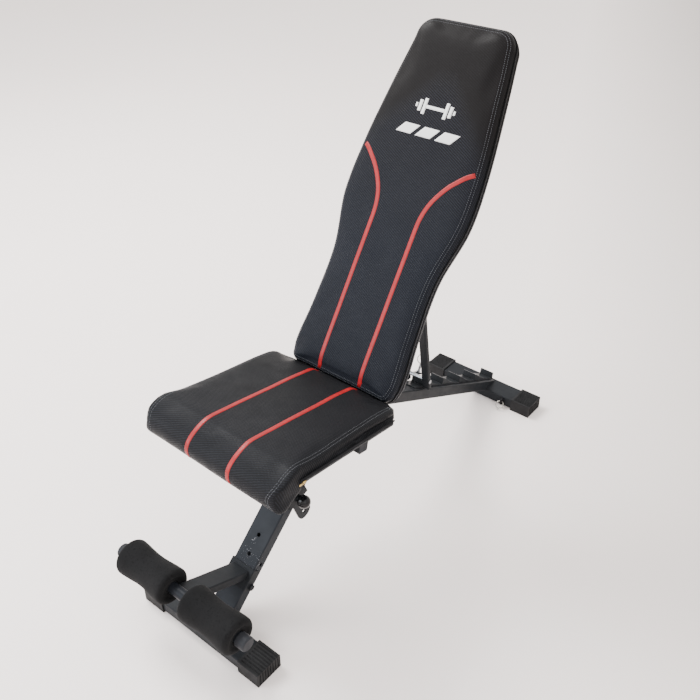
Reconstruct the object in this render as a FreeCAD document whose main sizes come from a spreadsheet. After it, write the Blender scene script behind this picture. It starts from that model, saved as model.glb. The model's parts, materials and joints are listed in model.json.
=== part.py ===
import FreeCAD, Part
import math
import os

# Adjustable weight bench.  Millimetres, +Z up, +Y to the rear (towards the ladder),
# origin on the floor under the centre of the bench.

Vector = FreeCAD.Vector
Rotation = FreeCAD.Rotation
Placement = FreeCAD.Placement

doc = FreeCAD.newDocument("weight_bench")
sheet = doc.addObject("Spreadsheet::Sheet", "dims")

DIMENSIONS = {
    # base: the front and rear crossbars, their caps and the tube they share
    "base_length": 1098.3, "front_y": -518.0, "cap_proud": 3.5, "cap_long": 58.0,
    "front_half": 175.0, "rear_half": 174.0, "groove_deep": 1.6, "groove_wide": 3.2,
    # frame tube
    "tube_wide": 60.0, "tube_deep": 30.0, "tube_wall": 2.0, "tube_round": 3.0,
    # where the leg and the beam meet, and the two hinge lines
    "joint_y": 414.2, "joint_z": 380.8, "beam_rear_z": 29.0,
    "back_y": 465.0, "back_z": 390.0, "barrel_r": 14.0, "bolt_r": 6.0, "bolt_play": 0.06,
    "plate_thick": 4.0, "ear_r": 13.5, "ear_side": 30.2,
    # ladder
    "hook_tall": 20.0, "hook_base": 3.0, "ladder_wide": 40.0, "tip_long": 5.0,
    # foot rest
    "roller_y": -55.8, "roller_z": 175.8, "bar_r": 12.5, "bar_half": 186.7, "bar_cap_r": 15.75,
    "bar_cap_long": 23.0, "foam_r": 40.0, "foam_in": 24.0, "foam_out": 163.0, "foam_play": 0.3,
    "foam_round": 9.0, "arm_wide": 46.0, "arm_deep": 20.0, "saddle_thick": 3.0, "saddle_long": 48.0,
    "leg_hole_r": 4.5, "leg_hole_pitch": 45.6,
    # seat
    "seat_tilt": 10.55, "seat_gap": 15.4, "seat_board": 10.0, "seat_thick": 29.0, "seat_half": 172.0,
    "rail_wide": 20.0, "rail_in": 42.0, "rail_deep": 30.0,
    # seat adjuster
    "strut_in": 32.0, "strut_thick": 4.0, "strut_wide": 36.0, "hole_pitch": 34.0, "stop_hole_r": 5.2,
    "pin_y": 246.1, "pin_z": 237.2, "pin_r": 4.0, "knob_r": 15.0, "knob_x": 60.0, "keeper_x": 38.5,
    # back rest
    "back_angle": 56.83, "back_pad_thick": 48.0, "back_board": 12.0, "back_long": 792.0,
    "spine_wide": 40.0, "spine_deep": 25.0, "strap_thick": 4.0,
    # prop
    "prop_in": 21.0, "leg_wide": 22.0, "leg_deep": 12.0, "rod_r": 5.0, "prop_long": 405.5,
    "prop_tail": 24.0, "prop_lean": 80.1, "prop_at": 316.4,
    # pins and rings
    "lock_r": 3.25, "ring_r": 13.0, "ring_wire": 1.1,
}
for row, (alias, size) in enumerate(DIMENSIONS.items(), start=1):
    cell = "B" + str(row)
    sheet.set("A" + str(row), alias)
    sheet.set(cell, str(size))
    sheet.setAlias(cell, alias)
doc.recompute()

PIECES = []


def dim(alias):
    return float(sheet.get(alias))


def bind(thing, **sizes):
    """Bind properties to sheet cells; a plain number stays a number."""
    for name, expression in sizes.items():
        thing.setExpression(name.replace("__", "."), expression)


def piece(thing, label):
    thing.Label = label
    PIECES.append(thing)
    return thing


def tilt(degrees):
    """A turn about X: local Y points to the rear and up by this angle."""
    return Rotation(Vector(1, 0, 0), degrees)


SIDE = Rotation(Vector(1, 1, 1), 120)          # local x, y, z become Y, Z, X
ALONG_X = Rotation(Vector(0, 1, 0), 90)        # local z becomes X


def part_box(name, at, turn, **sizes):
    """A box centred on a point, sized by sheet expressions."""
    made = doc.addObject("Part::Box", name)
    bind(made, **sizes)
    doc.recompute()
    half = Vector(made.Length.Value, made.Width.Value, made.Height.Value) * 0.5
    made.Placement = Placement(at - turn.multVec(half), turn)
    return made


def part_rod(name, at, turn, **sizes):
    """A cylinder centred on a point, its axis along the turned Z."""
    made = doc.addObject("Part::Cylinder", name)
    bind(made, **sizes)
    doc.recompute()
    half = Vector(0, 0, made.Height.Value * 0.5)
    made.Placement = Placement(at - turn.multVec(half), turn)
    return made


def x_rod(name, x, y, z, **sizes):
    return part_rod(name, Vector(x, y, z), ALONG_X, **sizes)


def cut(name, base, *tools):
    for number, tool in enumerate(tools):
        made = doc.addObject("Part::Cut", name + "_cut" + str(number))
        made.Base = base
        made.Tool = tool
        base = made
    doc.recompute()
    return base


def fuse(name, *solids):
    made = doc.addObject("Part::MultiFuse", name + "_fuse")
    made.Shapes = list(solids)
    made.Refine = True
    doc.recompute()
    return made


def group(name, *solids):
    """Separate solids that share one node."""
    made = doc.addObject("Part::Compound", name + "_group")
    made.Links = list(solids)
    doc.recompute()
    return made


def soften(name, base, radius, direction):
    """Round the straight edges that run along a direction."""
    chosen = []
    for number, edge in enumerate(base.Shape.Edges, start=1):
        straight = edge.Curve.TypeId == "Part::GeomLine"
        if straight and abs(edge.tangentAt(edge.FirstParameter).dot(direction)) > 0.999:
            chosen.append((number, radius, radius))
    made = doc.addObject("Part::Fillet", name + "_soft")
    made.Base = base
    made.Edges = chosen
    doc.recompute()
    return made


def tube(name, at, turn, long_axis, wide, deep, length, wall="dims.tube_wall"):
    """A hollow box section centred on a point; long_axis is Length (X) or Width (Y)."""
    outer = {"Length": wide, "Width": deep, "Height": deep}
    outer[long_axis] = length
    if long_axis == "Length":
        outer["Width"] = wide
    inner = {key: value + " - 2 * " + wall for key, value in outer.items()}
    inner[long_axis] = length + " + 20"
    body = part_box(name + "_outer", at, turn, **outer)
    direction = turn.multVec(Vector(1, 0, 0) if long_axis == "Length" else Vector(0, 1, 0))
    body = soften(name, body, dim("tube_round"), direction)
    return cut(name, body, part_box(name + "_inner", at, turn, **inner))


def origin_plane(body, role):
    return next(each for each in body.Origin.OriginFeatures if each.Role == role)


def closed_outline(corners):
    """Straight edges with a tangent arc at each corner, from (u, v, radius) corners."""
    points = [(Vector(u, v, 0), radius) for u, v, radius in corners]
    starts, ends, arcs = [], [], []
    for index, (corner, radius) in enumerate(points):
        back = (points[index - 1][0] - corner).normalize()
        ahead = (points[(index + 1) % len(points)][0] - corner).normalize()
        half = 0.5 * math.acos(max(-1.0, min(1.0, back.dot(ahead))))
        reach = radius / math.tan(half)
        start = corner + back * reach
        end = corner + ahead * reach
        if radius > 0:
            middle = (back + ahead).normalize()
            middle = corner + middle * (radius / math.sin(half) - radius)
            arcs.append(Part.Arc(start, middle, end))
        starts.append(start)
        ends.append(end)
    edges = list(arcs)
    for index, end in enumerate(ends):
        following = starts[(index + 1) % len(starts)]
        if (following - end).Length > 0.01:
            edges.append(Part.LineSegment(end, following))
    return edges


def plate(name, edges, thick, place, centred=True, circles=()):
    """A PartDesign plate: an outline on the body's XY plane, padded by a sheet size."""
    body = doc.addObject("PartDesign::Body", name + "_body")
    sketch = body.newObject("Sketcher::SketchObject", name + "_outline")
    sketch.AttachmentSupport = (origin_plane(body, "XY_Plane"), [""])
    sketch.MapMode = "FlatFace"
    for edge in edges:
        sketch.addGeometry(edge, False)
    for u, v, radius in circles:
        sketch.addGeometry(Part.Circle(Vector(u, v, 0), Vector(0, 0, 1), radius), False)
    pad = body.newObject("PartDesign::Pad", name + "_pad")
    pad.Profile = sketch
    pad.Midplane = centred
    bind(pad, Length=thick)
    body.Tip = pad
    body.Placement = place
    doc.recompute()
    return body


# Lines of the frame.  Everything measured from the front crossbar is shifted by front_y.
shift = dim("front_y")
floor_mid = dim("cap_proud") + dim("tube_deep") / 2
joint = Vector(0, dim("joint_y") + shift, dim("joint_z"))
leg_foot = Vector(0, shift + dim("tube_wide") / 2, floor_mid)
rear_y = shift + dim("base_length")
leg_angle = math.degrees(math.atan2(joint.z - leg_foot.z, joint.y - leg_foot.y))
beam_angle = math.degrees(math.atan2(dim("beam_rear_z") - joint.z, rear_y - joint.y))
leg_turn = tilt(leg_angle)
beam_turn = tilt(beam_angle)
seat_turn = tilt(-dim("seat_tilt"))
back_turn = tilt(dim("back_angle"))
back_pivot = Vector(0, dim("back_y") + shift, dim("back_z"))
arm_turn_degrees = -24.4


def on_leg(x, up, out):
    """A point measured up the leg from its foot and out from its centre line."""
    return leg_foot + leg_turn.multVec(Vector(x, up, out))


def on_beam(x, along, out):
    return joint + beam_turn.multVec(Vector(x, along, out))


def on_seat(x, along, out):
    """A point measured from the seat hinge, rearward and up, in the seat's own slope."""
    return joint + seat_turn.multVec(Vector(x, along, out))


# The back rest's own frame: along its length from the lower end of the pad, and out from
# the plane at the back of its board.
back_total = dim("back_pad_thick") + dim("back_board")
back_foot = Vector(0, 436.1 + shift, 434.9) + back_turn.multVec(Vector(0, 0, -back_total))


def on_back(x, along, out):
    return back_foot + back_turn.multVec(Vector(x, along, out))


def crossbar(name, y, half_alias):
    length = "2 * (dims." + half_alias + " - dims.cap_proud)"
    bar = tube(name, Vector(0, y, floor_mid), Rotation(), "Length",
               "dims.tube_wide", "dims.tube_deep", length)
    return piece(bar, name)


def crossbar_cap(name, y, half_alias, side, grooves):
    """A cap that slips over the tube's end, grooved along its top and down its end."""
    half = dim(half_alias)
    long = dim("cap_long")
    proud = dim("cap_proud")
    centre = Vector(side * (half - long / 2), y, floor_mid)
    body = part_box(name + "_outer", centre, Rotation(), Length="dims.cap_long",
                    Width="dims.tube_wide + 2 * dims.cap_proud",
                    Height="dims.tube_deep + 2 * dims.cap_proud")
    body = soften(name, body, 2.0, Vector(1, 0, 0))
    hollow = part_box(name + "_hollow", centre - Vector(side * proud, 0, 0), Rotation(),
                      Length="dims.cap_long", Width="dims.tube_wide", Height="dims.tube_deep")
    tools = [hollow]
    wide = dim("tube_wide") + 2 * proud
    top = floor_mid + dim("tube_deep") / 2 + proud
    for number in range(grooves):
        groove_y = y + (number - (grooves - 1) / 2) * (wide - 8) / grooves
        tools.append(part_box(name + "_top" + str(number),
                              Vector(side * (half - long / 2 + 6), groove_y, top), Rotation(),
                              Length="dims.cap_long", Width="dims.groove_wide",
                              Height="2 * dims.groove_deep"))
        tools.append(part_box(name + "_end" + str(number),
                              Vector(side * half, groove_y, floor_mid), Rotation(),
                              Length="2 * dims.groove_deep", Width="dims.groove_wide",
                              Height="dims.tube_deep"))
    return piece(cut(name, body, *tools), name)


def front_leg():
    """The tube from the front crossbar up to the hinge, with its rows of holes."""
    reach = (joint - leg_foot).Length
    spare = 60
    first_hole = 150.6
    side_holes = (141.4, 90.0)
    body = tube("front_leg", on_leg(0, reach / 2, 0), leg_turn, "Width", "dims.tube_wide",
                "dims.tube_deep", str(reach + spare))
    trim_front = part_box("leg_trim_front", leg_foot - Vector(0, 40, 0), Rotation(),
                          Length="100", Width="80", Height="200")
    trim_floor = part_box("leg_trim_floor", leg_foot + Vector(0, 0, 3.0 - 50 - floor_mid),
                          Rotation(), Length="100", Width="200", Height="100")
    beam_space = part_box("leg_trim_beam", on_beam(0, 100, 100 - dim("tube_deep") / 2),
                          beam_turn, Length="100", Width="400", Height="200")
    tools = [trim_front, trim_floor, beam_space, barrel_space("leg")]
    for number in (0, 1):
        up = first_hole + number * dim("leg_hole_pitch")
        tools.append(part_rod("leg_front_hole" + str(number), on_leg(0, up, 15), leg_turn,
                              Radius="dims.leg_hole_r", Height="12"))
    for number, up in enumerate(side_holes):
        at = on_leg(0, up, 0)
        tools.append(x_rod("leg_side_hole" + str(number), at.x, at.y, at.z,
                           Radius="dims.leg_hole_r", Height="80"))
    pin = Vector(26, dim("pin_y") + shift, dim("pin_z"))
    tools.append(x_rod("leg_pin_hole", pin.x, pin.y, pin.z, Radius="dims.stop_hole_r", Height="12"))
    return piece(cut("front_leg", body, *tools), "front_leg")


def barrel_space(name):
    return x_rod(name + "_barrel_space", 0, joint.y, joint.z, Radius="dims.barrel_r", Height="100")


def main_beam():
    """The tube that slopes down from the hinge onto the rear crossbar."""
    rear_edge = rear_y - joint.y + 60
    length = rear_edge / math.cos(math.radians(beam_angle))
    body = tube("main_beam", on_beam(0, length / 2, 0), beam_turn, "Width", "dims.tube_wide",
                "dims.tube_deep", str(length))
    half_wide = dim("tube_wide") / 2
    top = floor_mid + dim("tube_deep") / 2
    crossbar_space = part_box("beam_trim_bar", Vector(0, rear_y + 100 - half_wide, top - 50),
                          Rotation(), Length="100", Width="200", Height="100")
    return piece(cut("main_beam", body, crossbar_space, barrel_space("beam")), "main_beam")


def hinge_barrel():
    body = x_rod("barrel_outer", 0, joint.y, joint.z, Radius="dims.barrel_r",
                 Height="dims.tube_wide")
    bore = x_rod("barrel_bore", 0, joint.y, joint.z, Radius="dims.bolt_r + dims.bolt_play",
                 Height="80")
    return piece(cut("hinge_barrel", body, bore), "hinge_barrel")


def hinge_plate(name, side):
    """A side plate that ties leg and beam together and carries both hinge bolts."""
    x = side * (dim("ear_side") + dim("plate_thick") / 2)
    beam_arm = 84
    leg_arm = 72
    neck_tall = 36
    along_beam = part_box(name + "_beam", on_beam(x, beam_arm / 2, 0), beam_turn,
                          Length="dims.plate_thick", Width=str(beam_arm),
                          Height="dims.tube_deep - 2")
    along_leg = part_box(name + "_leg", joint + leg_turn.multVec(Vector(x, -leg_arm / 2, 0)),
                         leg_turn, Length="dims.plate_thick", Width=str(leg_arm),
                         Height="dims.tube_deep - 2")
    disc = x_rod(name + "_disc", x, joint.y, joint.z, Radius="dims.barrel_r",
                 Height="dims.plate_thick")
    ear = x_rod(name + "_ear", x, back_pivot.y, back_pivot.z, Radius="dims.ear_r",
                Height="dims.plate_thick")
    neck = part_box(name + "_neck", Vector(x, back_pivot.y, back_pivot.z - neck_tall / 2),
                    Rotation(), Length="dims.plate_thick", Width="2 * dims.ear_r",
                    Height=str(neck_tall))
    body = fuse(name, along_beam, along_leg, disc, ear, neck)
    holes = [x_rod(name + "_hole" + str(number), x, at.y, at.z,
                   Radius="dims.bolt_r + dims.bolt_play", Height="20")
             for number, at in enumerate((joint, back_pivot))]
    return piece(cut(name, body, *holes), name)


def hexagon(across):
    reach = across / math.sqrt(3)
    return [(reach * math.cos(math.radians(60 * step)), reach * math.sin(math.radians(60 * step)), 0)
            for step in range(6)]


def x_bolt(name, at, radius, x_from, x_to, head, across):
    """A bolt along X whose shank runs between two faces, with its head past the second."""
    span = x_to - x_from
    shank = x_rod(name + "_shank", (x_from + x_to) / 2, at.y, at.z, Radius=radius, Height=str(span))
    side = 1 if span > 0 else -1
    top = plate(name + "_head", closed_outline(hexagon(across)), str(head),
                Placement(Vector(x_to + side * head / 2, at.y, at.z), SIDE))
    return fuse(name, shank, top)


def x_nut(name, at, radius, x_mid, thick, across):
    body = plate(name, closed_outline(hexagon(across)), str(thick),
                 Placement(Vector(x_mid, at.y, at.z), SIDE))
    bore = x_rod(name + "_bore", x_mid, at.y, at.z, Radius=radius, Height=str(thick + 4))
    return cut(name, body, bore)


def ladder():
    """Five hooks in a row: steep faces towards the seat, hollowed slopes behind."""
    rests = [(at - dim("joint_y")) / math.cos(math.radians(beam_angle))
             + dim("tube_deep") / 2 * math.tan(math.radians(beam_angle))
             for at in (745.0, 833.0, 918.0, 1005.0, 1106.0)]
    base = dim("hook_base")
    tall = dim("hook_tall")
    tip = dim("tip_long")
    edges = []
    last = Vector(rests[0] - 40, 0, 0)
    first = last
    for number, rest in enumerate(rests):
        foot = Vector(rest + 7, base, 0)
        point = Vector(rest + 4.5, tall, 0)
        crest = point + Vector(tip, 0, 0)
        if number == 0:
            rise = Vector(last.x, base, 0)
            edges.append(Part.LineSegment(last, rise))
            edges.append(Part.LineSegment(rise, foot))
        else:
            middle = Vector((last.x + foot.x) * 0.5, base + 3.5, 0)
            edges.append(Part.Arc(last, middle, foot))
        edges.append(Part.LineSegment(foot, point))
        edges.append(Part.LineSegment(point, crest))
        last = crest
    tail = Vector(last.x + 6, 0, 0)
    edges.append(Part.LineSegment(last, tail))
    edges.append(Part.LineSegment(tail, first))
    place = Placement(on_beam(0, 0, dim("tube_deep") / 2), beam_turn * SIDE)
    return piece(plate("ladder", edges, "dims.ladder_wide", place), "ladder")


def foot_rest():
    """The bar with its two rollers and caps, and the arm that carries it."""
    bar_at = Vector(0, dim("roller_y") + shift, dim("roller_z"))
    bar = x_rod("roller_bar_outer", 0, bar_at.y, bar_at.z, Radius="dims.bar_r",
                Height="2 * dims.bar_half - 4")
    bore = x_rod("roller_bar_inner", 0, bar_at.y, bar_at.z, Radius="dims.bar_r - 1.5", Height="400")
    piece(cut("roller_bar", bar, bore), "roller_bar")
    roller("roller_foam_left", bar_at, -1)
    roller("roller_foam_right", bar_at, 1)
    piece(group("bar_caps", bar_cap("bar_cap_left", bar_at, -1),
                bar_cap("bar_cap_right", bar_at, 1)), "bar_caps")
    foot_arm(bar_at)
    arm_saddle()


def roller(name, bar_at, side):
    """A waisted foam roller with rounded ends, turned about the bar."""
    inner = dim("foam_in")
    outer = dim("foam_out")
    bore = dim("bar_r") + dim("foam_play")
    full = dim("foam_r")
    soft = dim("foam_round")
    waist = full - 4.0
    corners = [Vector(bore, inner, 0), Vector(full - soft, inner, 0), Vector(full, inner + soft, 0),
               Vector(full, outer - soft, 0), Vector(full - soft, outer, 0), Vector(bore, outer, 0)]
    diagonal = soft * (1 - math.sqrt(0.5))
    low = Vector(full - diagonal, inner + diagonal, 0)
    high = Vector(full - diagonal, outer - diagonal, 0)
    middle = Vector(waist, (inner + outer) / 2, 0)
    edges = [Part.LineSegment(corners[0], corners[1]), Part.Arc(corners[1], low, corners[2]),
             Part.Arc(corners[2], middle, corners[3]), Part.Arc(corners[3], high, corners[4]),
             Part.LineSegment(corners[4], corners[5]), Part.LineSegment(corners[5], corners[0])]
    body = doc.addObject("PartDesign::Body", name + "_body")
    sketch = body.newObject("Sketcher::SketchObject", name + "_outline")
    sketch.AttachmentSupport = (origin_plane(body, "XY_Plane"), [""])
    sketch.MapMode = "FlatFace"
    for edge in edges:
        sketch.addGeometry(edge, False)
    turned = body.newObject("PartDesign::Revolution", name + "_turned")
    turned.Profile = sketch
    turned.ReferenceAxis = (sketch, ["V_Axis"])
    turned.Angle = 360
    body.Tip = turned
    spin = Rotation(Vector(0, 0, 1), -90 * side)
    body.Placement = Placement(bar_at, spin)
    doc.recompute()
    return piece(body, name)


def bar_cap(name, bar_at, side):
    """A round plastic cap pushed over the bar's end."""
    half = dim("bar_half")
    long = dim("bar_cap_long")
    body = x_rod(name + "_outer", side * (half - long / 2), bar_at.y, bar_at.z,
                 Radius="dims.bar_cap_r", Height="dims.bar_cap_long")
    soft = doc.addObject("Part::Fillet", name + "_round")
    soft.Base = body
    soft.Edges = [(number, 4.0, 4.0) for number, edge in enumerate(body.Shape.Edges, start=1)
                  if edge.Closed and abs(edge.CenterOfMass.x - side * half) < 0.1]
    doc.recompute()
    hollow = x_rod(name + "_hollow", side * (half - long / 2 - 2), bar_at.y, bar_at.z,
                   Radius="dims.bar_r", Height="dims.bar_cap_long")
    return cut(name, soft, hollow)


def foot_arm(bar_at):
    """A flat tube from the saddle on the leg up to the roller bar."""
    arm_turn = tilt(arm_turn_degrees)
    length = 190.0
    middle = bar_at + arm_turn.multVec(Vector(0, length / 2, 0))
    body = tube("foot_arm", middle, arm_turn, "Width", "dims.arm_wide", "dims.arm_deep",
                str(length))
    leg_face = part_box("arm_trim_leg", on_leg(0, 100, dim("tube_deep") / 2
                        + dim("saddle_thick") - 100), leg_turn,
                        Length="100", Width="400", Height="200")
    bar_space = x_rod("arm_trim_bar", 0, bar_at.y, bar_at.z, Radius="dims.bar_r", Height="100")
    return piece(cut("foot_arm", body, leg_face, bar_space), "foot_arm")


def arm_saddle():
    """A folded clip over the leg, which carries the arm and takes the cross bolt."""
    thick = dim("saddle_thick")
    up = 104.0
    outer = part_box("saddle_outer", on_leg(0, up, dim("tube_deep") / 2 - 9 + thick / 2), leg_turn,
                     Length="dims.tube_wide + 2 * dims.saddle_thick + 0.4",
                     Width="dims.saddle_long", Height="18 + dims.saddle_thick")
    outer = soften("saddle", outer, 2.0, leg_turn.multVec(Vector(0, 1, 0)))
    inner = part_box("saddle_inner", on_leg(0, up, dim("tube_deep") / 2 - 25), leg_turn,
                     Length="dims.tube_wide + 0.4", Width="80", Height="50")
    at = on_leg(0, 90.0, 0)
    hole = x_rod("saddle_hole", 0, at.y, at.z, Radius="4.1", Height="120")
    piece(cut("arm_saddle", outer, inner, hole), "arm_saddle")
    face = dim("tube_wide") / 2 + thick + 0.2
    piece(x_bolt("arm_bolt", at, "4", -face - 9, face, 5.0, 13.0), "arm_bolt")
    piece(x_nut("arm_nut", at, "4", -face - 3.4, 6.4, 13.0), "arm_nut")


def hinge_bolts():
    """The seat's bolt and the back rest's bolt, with nuts, and spacers beside the seat rails."""
    reach = dim("rail_in") + dim("rail_wide")
    piece(x_bolt("seat_hinge_bolt", joint, "dims.bolt_r", -reach - 9.5, reach + 0.3, 7.0, 18.0),
          "seat_hinge_bolt")
    nuts = [x_nut("seat_hinge_nut", joint, "dims.bolt_r", -reach - 4.3, 8.0, 18.0)]
    ear = dim("ear_side") + dim("plate_thick")
    piece(x_bolt("back_hinge_bolt", back_pivot, "dims.bolt_r", -ear - 9.5, ear, 6.0, 18.0),
          "back_hinge_bolt")
    nuts.append(x_nut("back_hinge_nut", back_pivot, "dims.bolt_r", -ear - 4.1, 8.0, 18.0))
    piece(group("hinge_nuts", *nuts), "hinge_nuts")
    spacers = []
    for number, side in enumerate((-1, 1)):
        middle = side * (ear + dim("rail_in")) / 2
        length = dim("rail_in") - ear - 0.6
        outer = x_rod("spacer_outer" + str(number), middle, joint.y, joint.z,
                      Radius="9", Height=str(length))
        bore = x_rod("spacer_bore" + str(number), middle, joint.y, joint.z,
                     Radius="dims.bolt_r + dims.bolt_play", Height="20")
        spacers.append(cut("spacer" + str(number), outer, bore))
    piece(group("seat_spacers", *spacers), "seat_spacers")


def seat_frame():
    """Two rails under the seat, an outrigger past each, and a tie between them."""
    middle = dim("rail_in") + dim("rail_wide") / 2
    centre_out = dim("seat_gap") - dim("rail_deep") / 2
    rail_long = 302.0
    rail_past = 16.0
    outrigger_end = 158.0
    outrigger_at = -91.0
    tie_at = -275.0
    outriggers = []
    plugs = []
    for name, side in (("left", -1), ("right", 1)):
        label = "seat_rail_" + name
        rail = tube(label, on_seat(side * middle, rail_past - rail_long / 2, centre_out), seat_turn,
                    "Width", "dims.rail_wide", "dims.rail_deep", str(rail_long), "1.5")
        bore = x_rod(label + "_bore", side * middle, joint.y, joint.z,
                     Radius="dims.bolt_r + dims.bolt_play", Height="60")
        hinge = strut_hinge()
        strut_bore = x_rod(label + "_strut_bore", middle, hinge.y, hinge.z, Radius="5.06",
                           Height="60")
        piece(cut(label, rail, bore, strut_bore) if side > 0 else cut(label, rail, bore), label)
        reach = outrigger_end - dim("rail_in") - dim("rail_wide")
        label = "seat_outrigger_" + name
        at = on_seat(side * (outrigger_end - reach / 2), outrigger_at, centre_out)
        arm = tube(label, at, seat_turn, "Length", "27", "dims.rail_deep", str(reach), "1.5")
        outriggers.append(arm)
        label = "outrigger_plug_" + name
        plug = part_box(label + "_box", on_seat(side * (outrigger_end + 1.2), outrigger_at, centre_out),
                        seat_turn, Length="2.4", Width="27", Height="dims.rail_deep")
        plugs.append(soften(label, plug, 2.5, Vector(1, 0, 0)))
    piece(group("seat_outriggers", *outriggers), "seat_outriggers")
    piece(group("outrigger_plugs", *plugs), "outrigger_plugs")
    tie = tube("seat_tie", on_seat(0, tie_at, centre_out), seat_turn, "Length", "22",
               "dims.rail_deep", "2 * dims.rail_in", "1.5")
    piece(tie, "seat_tie")


def strut_hinge():
    """Where the strut hangs from the seat's rails."""
    return on_seat(0, -243, 0.4)


def seat_board():
    """The seat's wooden base."""
    outline = [(-150, -289, 20), (150, -289, 20), (146, 16, 22), (-146, 16, 22)]
    place = Placement(on_seat(0, 0, dim("seat_gap")), seat_turn)
    body = plate("seat_board", closed_outline(outline), "dims.seat_board", place, centred=False)
    return piece(body, "seat_board")


def seat_pad():
    """The cushion: its side profile, narrowed by its plan outline."""
    under = dim("seat_gap") + dim("seat_board") + 0.2
    top = under + dim("seat_thick")
    nose = [(18, under, 4), (18, top, 14), (-350, top, 42), (-380, 6, 30), (-352, -28, 20),
            (-292, 8, 8), (-292, under, 0)]
    place = Placement(joint, seat_turn * SIDE)
    profile = plate("seat_pad_profile", closed_outline(nose), "2 * dims.seat_half + 20", place)
    plan = [(-181, -400, 26), (181, -400, 26), (180, -300, 0), (172, 18, 30), (-172, 18, 30),
            (-180, -300, 0)]
    outline = plate("seat_pad_plan", closed_outline(plan), "260", Placement(joint, seat_turn))
    body = doc.addObject("Part::Common", "seat_pad_common")
    body.Base = profile
    body.Tool = outline
    doc.recompute()
    return piece(body, "seat_pad")


def zip_point(fraction, out=0.0):
    """A point on the zip's straight line along the right side of the seat."""
    along = -305 + fraction * 285
    x = 180 + (along + 300) / 318 * (172 - 180)
    return on_seat(x + out, along, dim("seat_gap") + 14)


def seat_zip():
    """The zip along the cushion's right side, and its slider with a pull tab."""
    start = zip_point(0)
    end = zip_point(1)
    heading = math.degrees(math.atan2(-(end.x - start.x), (end - start).Length))
    turn = seat_turn * Rotation(Vector(0, 0, 1), heading)
    middle = (start + end) * 0.5 + Vector(1.1, 0, 0)
    tape = part_box("zip_tape_box", middle, turn, Length="1.6", Width="300", Height="9")
    piece(tape, "seat_zip")
    tab = part_box("zip_slider_box", zip_point(0, 3.6), turn, Length="2.6", Width="9", Height="7")
    pull = part_box("zip_pull_box", zip_point(0, 3.6) + Vector(0, -9, 1.5), turn,
                    Length="1.6", Width="12", Height="4.5")
    return piece(fuse("zip_slider", tab, pull), "zip_slider")


def seat_strut():
    """The perforated plate that hangs from the seat past the pull pin."""
    hinge = strut_hinge()
    stop = Vector(0, dim("pin_y") + shift, dim("pin_z"))
    axis = stop - hinge
    length = axis.Length
    lean = math.degrees(math.atan2(axis.z, axis.y))
    pitch = dim("hole_pitch")
    half = dim("strut_wide") / 2
    tail = length + 2 * pitch + 20
    outline = [(-14, -15, 14), (tail, -half, 17), (tail, half + 3, 18), (-14, 15, 14)]
    holes = [(length + step * pitch, 0, dim("stop_hole_r")) for step in (-1.3, 0, 1, 2)]
    holes.append((0, 0, 5.06))
    x = dim("strut_in") + dim("strut_thick") / 2
    place = Placement(Vector(x, hinge.y, hinge.z), tilt(lean) * SIDE)
    piece(plate("seat_strut", closed_outline(outline), "dims.strut_thick", place, circles=holes),
          "seat_strut")
    bolt_from = dim("strut_in") - 1.0
    bolt = x_rod("strut_pin_shank", (bolt_from + 66) / 2, hinge.y, hinge.z, Radius="5",
                 Height=str(66 - bolt_from))
    head = plate("strut_pin_head", closed_outline(hexagon(15.0)), "5",
                 Placement(Vector(66 + 2.5, hinge.y, hinge.z), SIDE))
    piece(fuse("strut_pin", bolt, head), "strut_pin")


def pull_pin():
    """A fixed keeper over the strut, a barrel with its spring, and the sprung ball-headed pin."""
    at = Vector(0, dim("pin_y") + shift, dim("pin_z"))
    keeper = dim("keeper_x")
    side_of_leg = dim("tube_wide") / 2
    turn = tilt(-70.0)
    walls = keeper + 4 - side_of_leg
    outer = part_box("keeper_outer", Vector(side_of_leg + walls / 2, at.y, at.z), turn,
                     Length=str(walls), Width="24", Height="58")
    inner = part_box("keeper_inner", Vector(side_of_leg + (keeper - side_of_leg) / 2 - 2, at.y, at.z),
                     turn, Length=str(keeper - side_of_leg + 4), Width="40", Height="50")
    bore = x_rod("keeper_bore", keeper, at.y, at.z, Radius="dims.pin_r + dims.bolt_play",
                 Height="20")
    piece(cut("pin_keeper", outer, inner, bore), "pin_keeper")
    barrel_from = keeper + 4
    barrel = x_rod("pin_barrel_outer", barrel_from + 6, at.y, at.z, Radius="8.5", Height="12")
    room = x_rod("pin_barrel_room", barrel_from + 5, at.y, at.z, Radius="6.6", Height="10")
    neck = x_rod("pin_barrel_neck", barrel_from + 6, at.y, at.z,
                 Radius="dims.pin_r + dims.bolt_play", Height="30")
    piece(cut("pin_barrel", barrel, room, neck), "pin_barrel")
    spring = x_rod("pin_spring_outer", barrel_from + 6.4, at.y, at.z, Radius="6.0", Height="6.8")
    core = x_rod("pin_spring_core", barrel_from + 6.4, at.y, at.z, Radius="4.5", Height="12")
    piece(cut("pin_spring", spring, core), "pin_spring")
    tip = dim("strut_in") + dim("strut_thick") + 0.3
    end = dim("knob_x") + 4
    shank = x_rod("pull_pin_shank", (tip + end) / 2, at.y, at.z, Radius="dims.pin_r",
                  Height=str(end - tip))
    collar = x_rod("pull_pin_collar", barrel_from + 1.8, at.y, at.z, Radius="6.2", Height="2.4")
    piece(fuse("pull_pin", shank, collar), "pull_pin")
    ball = doc.addObject("Part::Sphere", "ball_knob_sphere")
    bind(ball, Radius="dims.knob_r")
    ball.Placement = Placement(Vector(dim("knob_x"), at.y, at.z), Rotation())
    stem = x_rod("ball_knob_bore", dim("knob_x") - 6, at.y, at.z, Radius="dims.pin_r", Height="20")
    mouth = x_rod("ball_knob_mouth", dim("knob_x") - 10, at.y, at.z, Radius="9.2", Height="12")
    piece(cut("ball_knob", ball, stem, mouth), "ball_knob")


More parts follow.
